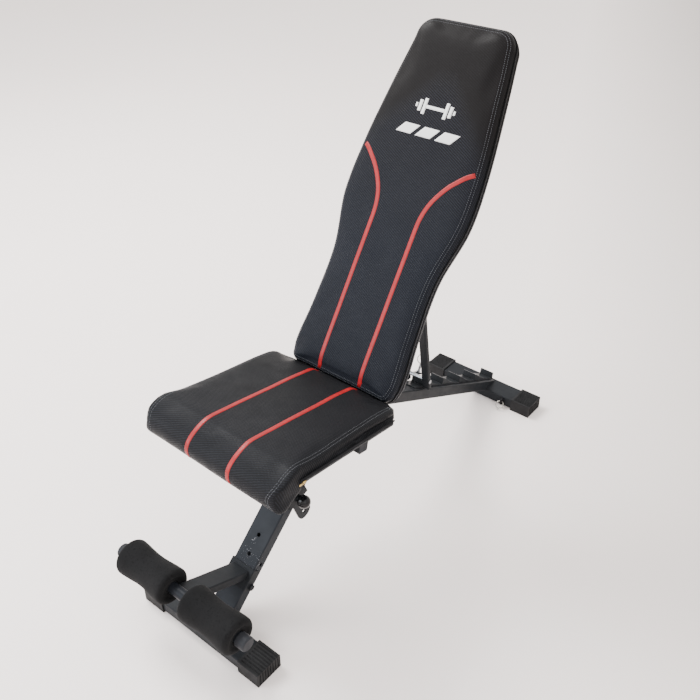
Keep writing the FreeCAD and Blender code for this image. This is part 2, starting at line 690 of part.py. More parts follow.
def back_side(along):
    """Half the back pad's width at a distance up from its lower end."""
    knots = ((0, 120), (35, 139), (134, 132), (262, 133), (386, 155), (497, 150), (660, 129),
             (792, 107))
    below = [knot for knot in knots if knot[0] <= along][-1]
    above = [knot for knot in knots if knot[0] >= along][0]
    if below is above:
        return float(below[1])
    share = (along - below[0]) / (above[0] - below[0])
    return below[1] + share * (above[1] - below[1])


def back_outline(inset):
    """The hourglass outline: two smooth sides, rounded at both ends."""
    low = 4.0 + inset
    high = dim("back_long") - inset
    corner = 30.0
    heights = [34.0 + inset, 134.0, 262.0, 386.0, 497.0, 660.0, high - corner]
    right = [Vector(back_side(each) - inset, each, 0) for each in heights]
    left = [Vector(-point.x, point.y, 0) for point in right]
    sides = []
    for points in (right, left):
        curve = Part.BSplineCurve()
        curve.interpolate(points)
        sides.append(curve)
    low_in = right[0].x - corner
    high_in = right[-1].x - corner
    bend = corner * (1 - math.sqrt(0.5))
    edges = list(sides)
    for side in (-1, 1):
        edges.append(Part.Arc(Vector(side * low_in, low, 0),
                              Vector(side * (right[0].x - bend), low + bend, 0),
                              Vector(side * right[0].x, right[0].y, 0)))
        edges.append(Part.Arc(Vector(side * high_in, high, 0),
                              Vector(side * (right[-1].x - bend), high - bend, 0),
                              Vector(side * right[-1].x, right[-1].y, 0)))
    edges.append(Part.LineSegment(Vector(-low_in, low, 0), Vector(low_in, low, 0)))
    edges.append(Part.LineSegment(Vector(-high_in, high, 0), Vector(high_in, high, 0)))
    return edges


def back_rest():
    """The back rest's board and cushion, its straps and screws, spine, lugs and sleeve."""
    board = dim("back_board")
    piece(plate("back_board", back_outline(14.0), "dims.back_board",
                Placement(on_back(0, 0, 0), back_turn), centred=False), "back_board")
    piece(plate("back_pad", back_outline(0.0), "dims.back_pad_thick",
                Placement(on_back(0, 0, board + 0.2), back_turn), centred=False), "back_pad")
    strap = dim("strap_thick")
    straps = []
    screws = []
    for name, along, wide in (("lower", 110, 170), ("middle", 340, 190), ("upper", 570, 190)):
        label = "back_strap_" + name
        outline = [(-wide / 2, along - 20, 8), (wide / 2, along - 20, 8),
                   (wide / 2, along + 20, 8), (-wide / 2, along + 20, 8)]
        holes = [(side * (wide / 2 - 16), along, 3.2) for side in (-1, 1)]
        straps.append(plate(label, closed_outline(outline), "dims.strap_thick",
                            Placement(on_back(0, 0, -strap), back_turn), centred=False,
                            circles=holes))
        for number, side in enumerate((-1, 1)):
            at = on_back(side * (wide / 2 - 16), along, 0)
            shank = part_rod(label + "_screw" + str(number),
                             at + back_turn.multVec(Vector(0, 0, -strap / 2)),
                             back_turn, Radius="3.1", Height=str(strap))
            head = part_rod(label + "_head" + str(number),
                            at + back_turn.multVec(Vector(0, 0, -strap - 1.6)),
                            back_turn, Radius="6", Height="3.2")
            screws.append(fuse(label + "_set" + str(number), shank, head))
    piece(group("back_straps", *straps), "back_straps")
    piece(group("back_screws", *screws), "back_screws")
    spine_from = 62.0
    spine_to = 610.0
    spine = tube("back_spine", on_back(0, (spine_from + spine_to) / 2, -strap
                 - dim("spine_deep") / 2), back_turn, "Width", "dims.spine_wide",
                 "dims.spine_deep", str(spine_to - spine_from))
    at = prop_pivot()
    bore = x_rod("spine_prop_bore", 0, at.y, at.z, Radius="4.06", Height="80")
    piece(cut("back_spine", spine, bore), "back_spine")
    plug = part_box("spine_plug_box", on_back(0, spine_to + 1.2, -strap - dim("spine_deep") / 2),
                    back_turn, Length="dims.spine_wide", Width="2.4", Height="dims.spine_deep")
    piece(plug, "spine_plug")
    for name, side in (("left", -1), ("right", 1)):
        back_lug("back_lug_" + name, side)
    sleeve = x_rod("back_sleeve_outer", 0, back_pivot.y, back_pivot.z, Radius="11", Height="58")
    sleeve_bore = x_rod("back_sleeve_bore", 0, back_pivot.y, back_pivot.z,
                        Radius="dims.bolt_r + dims.bolt_play", Height="80")
    piece(cut("back_sleeve", sleeve, sleeve_bore), "back_sleeve")


def back_lug(name, side):
    """A side cheek from the hinge sleeve to the spine."""
    thick = 5.0
    pivot = back_turn.inverted().multVec(back_pivot - back_foot)
    strap = dim("strap_thick")
    deep = dim("spine_deep")
    # Corners in the back rest's side plane: along its length, and out from the board.
    # The lower corner is kept close to the sleeve, so that it clears the beam on the way down.
    outline = [(pivot.y - 14, pivot.z - 10, 13), (40, -strap - deep, 20), (130, -strap - deep, 4),
               (130, -strap, 4), (8, -strap, 6), (pivot.y + 13, pivot.z + 14, 10),
               (pivot.y - 14, pivot.z + 14, 13)]
    x = side * (dim("spine_wide") / 2 + thick / 2)
    place = Placement(back_foot + Vector(x, 0, 0), back_turn * SIDE)
    body = plate(name, closed_outline(outline), str(thick), place)
    hole = x_rod(name + "_hole", x, back_pivot.y, back_pivot.z, Radius="11", Height="20")
    return piece(cut(name, body, hole), name)


def prop_pivot():
    """Where the prop hangs from the back rest's spine."""
    return on_back(0, dim("prop_at"), -dim("strap_thick") - dim("spine_deep") / 2)


prop_turn = tilt(-dim("prop_lean"))


def on_prop(x, down, out):
    return prop_pivot() + prop_turn.multVec(Vector(x, down, out))


def prop():
    """A forked prop: two flat tubes on the spine, with a rod between their feet."""
    reach = dim("prop_long")
    tail = dim("prop_tail")
    middle = dim("prop_in") + dim("leg_wide") / 2
    rod_at = on_prop(0, reach, 0)
    hinge = prop_pivot()
    for name, side in (("left", -1), ("right", 1)):
        label = "prop_leg_" + name
        leg = tube(label, on_prop(side * middle, (reach + tail - 10) / 2, 0), prop_turn, "Width",
                   "dims.leg_wide", "dims.leg_deep", str(reach + tail + 10), "1.5")
        bore = x_rod(label + "_bore", side * middle, hinge.y, hinge.z, Radius="4.06", Height="60")
        rod_bore = x_rod(label + "_rod_bore", side * middle, rod_at.y, rod_at.z,
                         Radius="dims.rod_r", Height="60")
        piece(cut(label, leg, bore, rod_bore), label)
    outer = dim("prop_in") + dim("leg_wide")
    piece(x_rod("prop_rod", 0, rod_at.y, rod_at.z, Radius="dims.rod_r",
                Height="2 * (dims.prop_in + dims.leg_wide) + 2"), "prop_rod")
    piece(x_bolt("prop_bolt", hinge, "4", -outer - 9, outer + 0.3, 5.0, 13.0), "prop_bolt")
    piece(x_nut("prop_nut", hinge, "4", -outer - 4.0, 6.4, 13.0), "prop_nut")
    lock_pin(rod_at)


def lock_pin(rod_at):
    """A pin through a tab on the prop's rod, square to the beam, with a ring in its head."""
    tab_x = -13.0
    tab_turn = beam_turn
    tab_mid = rod_at + tab_turn.multVec(Vector(tab_x, 22, 0))
    tab = part_box("prop_tab_box", tab_mid, tab_turn, Length="14", Width="36", Height="3")
    rod_space = x_rod("prop_tab_rod", tab_x, rod_at.y, rod_at.z, Radius="dims.rod_r", Height="40")
    pin_at = rod_at + tab_turn.multVec(Vector(tab_x, 31, 0))
    hole = part_rod("prop_tab_hole", pin_at, tab_turn, Radius="dims.lock_r + dims.bolt_play",
                    Height="20")
    piece(cut("prop_tab", tab, rod_space, hole), "prop_tab")
    pin_mid = pin_at + tab_turn.multVec(Vector(0, 0, 26.5))
    shank = part_rod("lock_pin_shank", pin_mid, tab_turn, Radius="dims.lock_r", Height="58")
    collar = part_rod("lock_pin_collar", pin_at + tab_turn.multVec(Vector(0, 0, 4.0)), tab_turn,
                      Radius="5.5", Height="4")
    ring_at = pin_at + tab_turn.multVec(Vector(0, 0, 52))
    # The ring faces 32 degrees off the beam's line and leans 12 degrees off the shank.
    facing = tab_turn * Rotation(Vector(0, 0, 1), 32)
    eye = part_rod("lock_pin_eye", ring_at, facing * Rotation(Vector(0, 1, 0), 90),
                   Radius="dims.ring_wire + 0.8", Height="20")
    piece(cut("lock_pin", fuse("lock_pin", shank, collar), eye), "lock_pin")
    ring = doc.addObject("Part::Torus", "lock_ring_torus")
    bind(ring, Radius1="dims.ring_r", Radius2="dims.ring_wire")
    lean = facing * Rotation(Vector(1, 0, 0), -12)
    centre = ring_at - lean.multVec(Vector(0, 0, dim("ring_r")))
    ring.Placement = Placement(centre, lean * Rotation(Vector(1, 0, 0), 90))
    doc.recompute()
    piece(ring, "lock_ring")


def band_anchor(name, side):
    """An eye lug on the rear crossbar's front face with a ring for an exercise band."""
    x = side * 88.0
    up = 20.0
    face = rear_y - dim("tube_wide") / 2
    lug = part_box(name + "_lug_box", Vector(x, face - 7, up), Rotation(),
                   Length="5", Width="14", Height="18")
    lug = soften(name + "_lug", lug, 4.0, Vector(1, 0, 0))
    hole = x_rod(name + "_lug_hole", x, face - 8, up, Radius="3", Height="20")
    ring = doc.addObject("Part::Torus", name + "_ring_torus")
    ring.Radius1 = 11.0
    ring.Radius2 = 1.6
    ring.Placement = Placement(Vector(x, face - 8 - 8.0, up - 6.0), Rotation(Vector(1, 0, 0), 37))
    doc.recompute()
    piece(ring, "band_ring_" + name)
    return cut(name + "_lug", lug, hole)


crossbar("front_crossbar", shift, "front_half")
crossbar("rear_crossbar", rear_y, "rear_half")
for end, centre_y, half_alias, grooves in (("front", shift, "front_half", 8),
                                           ("rear", rear_y, "rear_half", 12)):
    for hand, side in (("left", -1), ("right", 1)):
        crossbar_cap(end + "_cap_" + hand, centre_y, half_alias, side, grooves)
front_leg()
main_beam()
hinge_barrel()
hinge_plate("hinge_plate_left", -1)
hinge_plate("hinge_plate_right", 1)
hinge_bolts()
ladder()
foot_rest()
seat_frame()
seat_board()
seat_pad()
seat_zip()
seat_strut()
pull_pin()
back_rest()
prop()
piece(group("band_lugs", band_anchor("left", -1), band_anchor("right", 1)), "band_lugs")

doc.recompute()
for thing in doc.Objects:
    if "Invalid" in thing.State or "Error" in thing.State:
        raise RuntimeError("failed feature: " + thing.Label + " " + str(thing.State))
for thing in PIECES:
    if thing.Shape.isNull() or not thing.Shape.isValid() or thing.Shape.Volume <= 0:
        raise RuntimeError("bad shape: " + thing.Label)

os.makedirs("parts", exist_ok=True)
for thing in PIECES:
    thing.Shape.exportStep("parts/" + thing.Label + ".step")
    box = thing.Shape.BoundBox
    print(thing.Label, len(thing.Shape.Solids), round(thing.Shape.Volume / 1000, 2),
          [round(each, 1) for each in (box.XMin, box.YMin, box.ZMin, box.XMax, box.YMax, box.ZMax)])
print(len(PIECES), "nodes")
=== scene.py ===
import json
import math

import bmesh
import bpy
from mathutils import Matrix, Vector, noise
from mathutils.bvhtree import BVHTree


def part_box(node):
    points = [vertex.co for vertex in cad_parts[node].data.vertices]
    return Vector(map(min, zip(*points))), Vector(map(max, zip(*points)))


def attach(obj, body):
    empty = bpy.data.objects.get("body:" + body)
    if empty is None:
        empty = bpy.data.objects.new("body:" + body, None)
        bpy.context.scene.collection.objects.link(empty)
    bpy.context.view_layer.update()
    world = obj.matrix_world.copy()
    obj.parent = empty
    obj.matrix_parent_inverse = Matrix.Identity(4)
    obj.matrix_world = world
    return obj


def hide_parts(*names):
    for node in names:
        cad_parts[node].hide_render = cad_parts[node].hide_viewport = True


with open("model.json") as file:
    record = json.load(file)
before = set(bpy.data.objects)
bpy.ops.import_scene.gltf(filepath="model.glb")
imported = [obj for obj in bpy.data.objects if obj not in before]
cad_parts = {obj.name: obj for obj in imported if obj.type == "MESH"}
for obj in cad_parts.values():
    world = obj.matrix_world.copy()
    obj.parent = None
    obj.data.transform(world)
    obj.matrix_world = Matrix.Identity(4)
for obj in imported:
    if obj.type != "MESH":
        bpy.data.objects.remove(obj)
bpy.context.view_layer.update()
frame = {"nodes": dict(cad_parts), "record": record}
NODES = frame["nodes"]
MM = 0.001

# Local frames of the two cushions, in the row frame: their slopes and their origins.
BACK_TURN = math.radians(56.83)
BACK_FOOT = Vector((0.0, -31.7, 402.1)) * MM
SEAT_TURN = math.radians(-10.55)
SEAT_HINGE = Vector((0.0, -103.8, 380.8)) * MM
BACK_PLACE = Matrix.Translation(BACK_FOOT) @ Matrix.Rotation(BACK_TURN, 4, "X")
SEAT_PLACE = Matrix.Translation(SEAT_HINGE) @ Matrix.Rotation(SEAT_TURN, 4, "X")


# ---------------------------------------------------------------- material helpers

class Shader:
    """A material under construction: nodes are added and linked by short calls."""

    def __init__(self, name, rough=0.5, metal=0.0, **sockets):
        self.material = bpy.data.materials.new(name)
        self.material.use_nodes = True
        self.tree = self.material.node_tree
        self.bsdf = self.tree.nodes["Principled BSDF"]
        self.bsdf.inputs["Roughness"].default_value = rough
        self.bsdf.inputs["Metallic"].default_value = metal
        for key, value in sockets.items():
            self.bsdf.inputs[key.replace("_", " ")].default_value = value

    def node(self, kind, inputs=(), **settings):
        made = self.tree.nodes.new("ShaderNode" + kind)
        for key, value in settings.items():
            setattr(made, key, value)
        for key, value in dict(inputs).items():
            self.put(made.inputs[key], value)
        return made

    def put(self, socket, value):
        if isinstance(value, bpy.types.NodeSocket):
            self.tree.links.new(value, socket)
        elif value is not None:
            socket.default_value = value

    def math(self, operation, a, b=None, c=None):
        made = self.node("Math", operation=operation)
        for socket, value in zip(made.inputs, (a, b, c)):
            self.put(socket, value)
        return made.outputs[0]

    def place(self):
        return self.node("TexCoord").outputs["Object"]

    def split(self, vector):
        return self.node("SeparateXYZ", {"Vector": vector}).outputs

    def noise(self, scale, detail=4.0, rough=0.55, vector=None, distortion=0.0):
        made = self.node("TexNoise", {"Vector": vector or self.place(), "Scale": scale,
                                      "Detail": detail, "Roughness": rough,
                                      "Distortion": distortion})
        return made.outputs["Fac"]

    def ramp(self, value, low, high, start=0.0, end=1.0):
        made = self.node("MapRange", {"Value": value, "From Min": low, "From Max": high,
                                      "To Min": start, "To Max": end})
        return made.outputs["Result"]

    def mix(self, share, first, second):
        made = self.node("Mix", {"Factor": share}, data_type="RGBA")
        colours = [socket for socket in made.inputs if socket.type == "RGBA"]
        self.put(colours[0], first)
        self.put(colours[1], second)
        return next(out for out in made.outputs if out.type == "RGBA")

    def colour(self, socket):
        self.put(self.bsdf.inputs["Base Color"], socket)

    def rough(self, socket):
        self.put(self.bsdf.inputs["Roughness"], socket)

    def bump(self, height, distance, strength=1.0, normal=None):
        made = self.node("Bump", {"Height": height, "Distance": distance, "Strength": strength})
        if normal is not None:
            self.put(made.inputs["Normal"], normal)
        return made.outputs["Normal"]

    def round_edges(self, radius):
        return self.node("Bevel", {"Radius": radius}, samples=6).outputs["Normal"]

    def normal(self, socket):
        self.put(self.bsdf.inputs["Normal"], socket)


def rgb(red, green, blue):
    return (red, green, blue, 1.0)


def paint(name, dark, light, rough=0.42, scuffs=None):
    """Satin powder coat: orange peel, faint colour drift and softened edges."""
    shade = Shader(name, rough, 0.0, Specular_IOR_Level=0.07)
    drift = shade.noise(9.0, 3.0)
    tone = shade.mix(shade.ramp(drift, 0.3, 0.7), rgb(*dark), rgb(*light))
    peel = shade.noise(1400.0, 2.0)
    dust = shade.ramp(shade.noise(60.0, 6.0, 0.7), 0.60, 0.80, 0.0, 0.35)
    tone = shade.mix(dust, tone, rgb(*[min(1.0, each * 1.7 + 0.004) for each in light]))
    if scuffs:
        tone = shade.mix(scuff_mask(shade, scuffs), tone, rgb(0.62, 0.63, 0.66))
    shade.colour(tone)
    shade.rough(shade.ramp(shade.noise(35.0, 5.0), 0.3, 0.7, rough - 0.07, rough + 0.1))
    shade.normal(shade.bump(peel, 0.00012, 0.35, shade.round_edges(0.0012)))
    return shade.material


def scuff_mask(shade, spots):
    """Chipped paint: thin broken scratches, only close to the given places."""
    place = shade.place()
    near = None
    for centre, reach in spots:
        gap = shade.node("VectorMath", {0: place, 1: centre}, operation="DISTANCE").outputs["Value"]
        share = shade.ramp(gap, reach, reach * 0.25)
        near = share if near is None else shade.math("MAXIMUM", near, share)
    chips = shade.ramp(shade.noise(330.0, 4.0, 0.7, distortion=0.8), 0.635, 0.66)
    return shade.math("MULTIPLY", chips, shade.ramp(near, 0.05, 0.6))


def plastic(name, tone, rough=0.6, grain=900.0):
    """Moulded plastic with a fine spark-eroded grain."""
    shade = Shader(name, rough, 0.0, Specular_IOR_Level=0.11)
    drift = shade.ramp(shade.noise(22.0, 4.0), 0.3, 0.7)
    shade.colour(shade.mix(drift, rgb(*tone), rgb(*[each * 1.55 + 0.004 for each in tone])))
    shade.rough(shade.ramp(shade.noise(70.0, 4.0), 0.3, 0.7, rough - 0.08, rough + 0.12))
    shade.normal(shade.bump(shade.noise(grain, 3.0), 0.00015, 0.5, shade.round_edges(0.0008)))
    return shade.material


def metal(name, tone, rough=0.28, streak=(40.0, 900.0, 900.0)):
    """Plated or drawn metal with fine streaks and a little tarnish."""
    shade = Shader(name, rough, 1.0)
    stretched = shade.node("Mapping", {"Vector": shade.place(), "Scale": streak}).outputs[0]
    lines = shade.noise(1.0, 4.0, vector=stretched)
    dull = shade.ramp(shade.noise(160.0, 5.0), 0.35, 0.75)
    shade.colour(shade.mix(dull, rgb(*tone), rgb(*[each * 0.62 for each in tone])))
    shade.rough(shade.ramp(lines, 0.3, 0.7, rough - 0.08, rough + 0.14))
    shade.normal(shade.bump(lines, 0.00004, 0.5, shade.round_edges(0.0005)))
    return shade.material


def foam(name):
    """Closed-cell foam: matte, with fine pores and scattered larger ones."""
    shade = Shader(name, 0.92, 0.0, Specular_IOR_Level=0.08, Sheen_Weight=0.015,
                   Sheen_Roughness=0.55)
    place = shade.place()
    pores = shade.node("TexVoronoi", {"Vector": place, "Scale": 620.0}).outputs["Distance"]
    pits = shade.ramp(shade.noise(240.0, 5.0, 0.7), 0.30, 0.48)
    drift = shade.ramp(shade.noise(14.0, 5.0), 0.3, 0.7)
    tone = shade.mix(drift, rgb(0.0060, 0.0060, 0.0064), rgb(0.0105, 0.0105, 0.0110))
    # Painted shade: the larger pits are painted darker, standing in for shade in their hollows.
    shade.colour(shade.mix(pits, rgb(0.0035, 0.0035, 0.0038), tone))
    height = shade.math("ADD", shade.math("MULTIPLY", pores, 0.6), pits)
    shade.normal(shade.bump(height, 0.00035, 0.55))
    return shade.material


WEAVE_PITCH = 2.5 * MM


def vinyl(name, weave_share, tone=(0.0068, 0.0068, 0.0072), rough=0.40, upper=None):
    """Synthetic leather pressed with a twill: cloth_uv gives metres along the sheet.

    weave_share is a number, or a test of the place on the sheet that gives a socket; upper
    is the tone that takes over towards the far end."""
    shade = Shader(name, rough, 0.0, Specular_IOR_Level=0.054)
    sheet = shade.node("Attribute", attribute_name="cloth_uv").outputs["Vector"]
    across, along, _ = shade.split(sheet)
    column = shade.math("DIVIDE", across, WEAVE_PITCH)
    row = shade.math("DIVIDE", along, WEAVE_PITCH)
    swell = shade.math("SINE", shade.math("MULTIPLY", shade.math("FRACT", column), math.pi))
    step = shade.math("MULTIPLY", shade.math("FLOOR", column), 0.25)
    phase = shade.math("MULTIPLY_ADD", row, 0.5, step)
    float_over = shade.ramp(shade.math("SINE", shade.math("MULTIPLY", phase, 2 * math.pi)),
                            -0.35, 0.6)
    twill = shade.math("MULTIPLY", shade.math("POWER", swell, 0.6), float_over)
    share = weave_share(shade, across, along) if callable(weave_share) else weave_share
    woven = shade.math("MULTIPLY", twill, share)
    grain = shade.noise(1500.0, 3.0, vector=sheet)
    pebble = shade.node("TexVoronoi", {"Vector": sheet, "Scale": 900.0}).outputs["Distance"]
    drift = shade.ramp(shade.noise(11.0, 5.0), 0.3, 0.7)
    base = shade.mix(drift, rgb(*tone), rgb(*[each * 1.35 for each in tone]))
    # Towards the far end the base tone gives way to upper; on the back cover this fades out the bluish
    # lower tone, which is a painted reflection of cool light.
    if upper:
        base = shade.mix(shade.ramp(along, 0.30, 0.62), base, rgb(*upper))
    # Painted sheen: the raised twill threads are painted lighter and bluer, a painted highlight of cool
    # light on the weave.
    lit = rgb(tone[0] * 2.6, tone[1] * 2.9, tone[2] * 3.6)
    shade.colour(shade.mix(shade.math("MULTIPLY", woven, 0.75), base, lit))
    worn = shade.ramp(shade.noise(26.0, 5.0, 0.6), 0.3, 0.7, -0.05, 0.09)
    gloss = shade.math("MULTIPLY_ADD", woven, -0.10, rough + 0.03)
    shade.rough(shade.math("ADD", gloss, worn))
    fine = shade.bump(shade.math("ADD", grain, pebble), 0.00010, 0.5)
    shade.normal(shade.bump(woven, 0.00060, 0.85, fine))
    return shade.material


def red_vinyl():
    shade = Shader("red_vinyl", 0.42, 0.0, Specular_IOR_Level=0.25)
    drift = shade.ramp(shade.noise(60.0, 5.0), 0.3, 0.7)
    shade.colour(shade.mix(drift, rgb(0.235, 0.006, 0.008), rgb(0.30, 0.010, 0.012)))
    shade.rough(shade.ramp(shade.noise(120.0, 4.0), 0.3, 0.7, 0.34, 0.5))
    shade.normal(shade.bump(shade.noise(1300.0, 3.0), 0.00015, 0.5))
    return shade.material


def thread(name, tone):
    shade = Shader(name, 0.75, 0.0, Sheen_Weight=0.3, Sheen_Roughness=0.5)
    ply = shade.noise(2600.0, 3.0)
    shade.colour(shade.mix(shade.ramp(ply, 0.35, 0.65), rgb(*[each * 0.7 for each in tone]),
                           rgb(*tone)))
    shade.normal(shade.bump(ply, 0.0002, 0.7))
    return shade.material


def stained_wood():
    shade = Shader("stained_wood", 0.6, 0.0, Specular_IOR_Level=0.2)
    stretched = shade.node("Mapping", {"Vector": shade.place(), "Scale": (90.0, 6.0, 6.0)})
    grain = shade.noise(1.0, 8.0, 0.7, vector=stretched.outputs[0], distortion=0.6)
    shade.colour(shade.mix(shade.ramp(grain, 0.3, 0.7), rgb(0.016, 0.013, 0.010),
                           rgb(0.045, 0.034, 0.024)))
    shade.normal(shade.bump(grain, 0.0003, 0.5))
    return shade.material


def gloss_knob():
    shade = Shader("gloss_knob", 0.12, 0.0, Specular_IOR_Level=0.22)
    haze = shade.ramp(shade.noise(180.0, 5.0), 0.4, 0.8)
    shade.colour(shade.mix(haze, rgb(0.004, 0.004, 0.0045), rgb(0.010, 0.010, 0.011)))
    shade.rough(shade.ramp(shade.noise(90.0, 6.0, 0.7), 0.35, 0.75, 0.09, 0.2))
    return shade.material


def white_print():
    shade = Shader("white_print", 0.5)
    wear = shade.ramp(shade.noise(700.0, 6.0, 0.75), 0.62, 0.72)
    shade.colour(shade.mix(wear, rgb(0.72, 0.72, 0.71), rgb(0.30, 0.30, 0.31)))
    shade.normal(shade.bump(shade.noise(1500.0, 3.0), 0.0001, 0.5))
    return shade.material


# ---------------------------------------------------------------- mesh helpers

def new_object(name, points, faces, place=None):
    mesh = bpy.data.meshes.new(name)
    mesh.from_pydata([tuple(point) for point in points], [], faces)
    mesh.validate()
    return put_in_scene(name, mesh, place)


def put_in_scene(name, mesh, place=None):
    """A smooth-shaded object of this mesh, in the given local frame."""
    made = bpy.data.objects.new(name, mesh)
    bpy.context.scene.collection.objects.link(made)
    if place is not None:
        made.matrix_world = place
    for face in mesh.polygons:
        face.use_smooth = True
    return made


def recalc_normals(thing):
    work = bmesh.new()
    work.from_mesh(thing.data)
    bmesh.ops.recalc_face_normals(work, faces=work.faces)
    work.to_mesh(thing.data)
    work.free()


def settle(thing):
    """Replace the object's mesh by what its modifiers make of it."""
    bpy.context.view_layer.update()
    graph = bpy.context.evaluated_depsgraph_get()
    mesh = bpy.data.meshes.new_from_object(thing.evaluated_get(graph), depsgraph=graph)
    thing.modifiers.clear()
    thing.data = mesh


def subdivide(thing, levels):
    made = thing.modifiers.new("smooth", "SUBSURF")
    made.levels = levels
    made.render_levels = levels
    settle(thing)


def paint_with(thing, material):
    thing.data.materials.clear()
    thing.data.materials.append(material)


def store_sheet(thing, sheet):
    """Keep metres-along-the-cloth on each point, for the weave."""
    layer = thing.data.attributes.new("cloth_uv", "FLOAT_VECTOR", "POINT")
    for index, value in enumerate(sheet):
        layer.data[index].vector = value


def inflate(thing, hold, frames=20, pressure=4.0, most=6.0 * MM):
    """Cloth under pressure: hold(point) says how firmly a point is pinned."""
    group = thing.vertex_groups.new(name="held")
    start = [vertex.co.copy() for vertex in thing.data.vertices]
    for index, point in enumerate(start):
        group.add([index], hold(point), "REPLACE")
    cloth = thing.modifiers.new("cloth", "CLOTH")
    cloth.settings.vertex_group_mass = "held"
    cloth.settings.quality = 6
    cloth.settings.tension_stiffness = 40
    cloth.settings.compression_stiffness = 40
    cloth.settings.bending_stiffness = 6
    cloth.settings.use_pressure = True
    cloth.settings.uniform_pressure_force = pressure
    cloth.settings.effector_weights.gravity = 0
    cloth.collision_settings.use_collision = False
    cloth.point_cache.frame_end = frames
    for number in range(1, frames + 1):
        bpy.context.scene.frame_set(number)
    graph = bpy.context.evaluated_depsgraph_get()
    moved = [vertex.co.copy() for vertex in thing.evaluated_get(graph).data.vertices]
    thing.modifiers.clear()
    thing.vertex_groups.clear()
    steps = [after - before for before, after in zip(start, moved)]
    for step in steps:
        if step.length > most:
            step *= most / step.length
    for vertex, before, step in zip(thing.data.vertices, start, evened(thing, steps, 8)):
        vertex.co = before + step
    bpy.context.scene.frame_set(1)


def evened(thing, steps, rounds):
    """Average each point's step with its neighbours', so that no pucker is left."""
    near = [[] for _ in steps]
    for edge in thing.data.edges:
        a, b = edge.vertices
        near[a].append(b)
        near[b].append(a)
    for _ in range(rounds):
        steps = [(steps[index] + sum((steps[other] for other in around), Vector()) / len(around))
                 * 0.5 if around else steps[index] for index, around in enumerate(near)]
    return steps


def surface_of(thing):
    """A search tree over a finished piece, in its own local frame."""
    work = bmesh.new()
    work.from_mesh(thing.data)
    tree = BVHTree.FromBMesh(work)
    work.free()
    return tree


def smooth_between(value, low, high):
    share = max(0.0, min(1.0, (value - low) / (high - low)))
    return share * share * (3.0 - 2.0 * share)


def interpolate(knots, at):
    """A smooth curve through (place, value) knots."""
    last = len(knots) - 1
    at = max(knots[0][0], min(knots[-1][0], at))
    index = next(number for number in range(last) if at <= knots[number + 1][0])
    x0, y0 = knots[index]
    x1, y1 = knots[index + 1]
    slope0 = slope_at(knots, index)
    slope1 = slope_at(knots, index + 1)
    span = x1 - x0
    t = (at - x0) / span
    return ((2 * t ** 3 - 3 * t ** 2 + 1) * y0 + (t ** 3 - 2 * t ** 2 + t) * span * slope0
            + (3 * t ** 2 - 2 * t ** 3) * y1 + (t ** 3 - t ** 2) * span * slope1)


def slope_at(knots, index):
    low = max(0, index - 1)
    high = min(len(knots) - 1, index + 1)
    return (knots[high][1] - knots[low][1]) / (knots[high][0] - knots[low][0])


STRIPE_WIDE = 11.2 * MM
STRIPE_TALL = 0.8 * MM
STRIPE_SINK = 0.6 * MM      # how far its edges and its underside reach into the pad


def ribbon(name, tree, path, place, material, body):
    """A flat strip laid on a surface: path gives (outside point, inward way, side way)."""
    steps = 8
    points, faces = [], []
    rings = 0
    for outside, inward, side in path:
        row = []
        for number in range(steps + 1):
            share = 2.0 * number / steps - 1.0
            hit, _, _, _ = tree.ray_cast(outside + side * (share * STRIPE_WIDE / 2), inward)
            if hit is None:
                break
            crown = STRIPE_TALL * math.sqrt(max(0.0, 1.0 - share ** 4))
            proud = crown - STRIPE_SINK * abs(share) ** 8
            row.append(hit - inward * proud)
        if len(row) <= steps:
            continue
        deep = inward * (STRIPE_TALL + STRIPE_SINK)
        under = [row[number] + deep for number in range(steps, -1, -1)]
        points.extend(row + under)
        rings += 1
    around = 2 * (steps + 1)
    for ring in range(rings - 1):
        for number in range(around):
            a = ring * around + number
            b = ring * around + (number + 1) % around
            faces.append((a, b, b + around, a + around))
    faces.append(tuple(range(around)))
    faces.append(tuple(reversed(range((rings - 1) * around, rings * around))))
    made = new_object(name, points, faces, place)
    recalc_normals(made)
    paint_with(made, material)
    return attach(made, body)


STITCH_LONG = 3.2 * MM
STITCH_PITCH = 4.4 * MM
THREAD_RADIUS = 0.42 * MM


def stitches(name, tree, path, place, material, body):
    """Short raised stitches on a surface, along a path like a ribbon's."""
    points, faces = [], []
    travelled = 0.0
    due = 0.0
    for (start, inward, _), (end, _, _) in zip(path, path[1:]):
        span = (end - start).length
        while span > 0 and due < travelled + span:
            at = start.lerp(end, (due - travelled) / span)
            hit, normal, _, _ = tree.ray_cast(at, inward)
            if hit is not None:
                add_stitch(points, faces, hit, (end - start).normalized(), normal)
            due += STITCH_PITCH
        travelled += span
    made = new_object(name, points, faces, place)
    paint_with(made, material)
    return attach(made, body)


def add_stitch(points, faces, middle, along, normal):
    """One spindle lying along the seam, its ends dipping into the cloth."""
    side = along.cross(normal).normalized()
    up = side.cross(along).normalized()
    base = len(points)
    sections = ((-0.5, 0.25, -0.9), (-0.3, 0.9, 0.15), (0.0, 1.0, 0.45), (0.3, 0.9, 0.15),
                (0.5, 0.25, -0.9))
    around = 6
    for share, thick, lift in sections:
        centre = middle + along * (share * STITCH_LONG) + up * (lift * THREAD_RADIUS)
        for number in range(around):
            turn = 2 * math.pi * number / around
            way = side * math.cos(turn) + up * math.sin(turn)
            points.append(centre + way * THREAD_RADIUS * thick)
    for ring in range(len(sections) - 1):
        for number in range(around):
            a = base + ring * around + number
            b = base + ring * around + (number + 1) % around
            faces.append((a, b, b + around, a + around))
    faces.append(tuple(base + number for number in reversed(range(around))))
    last = base + (len(sections) - 1) * around
    faces.append(tuple(last + number for number in range(around)))


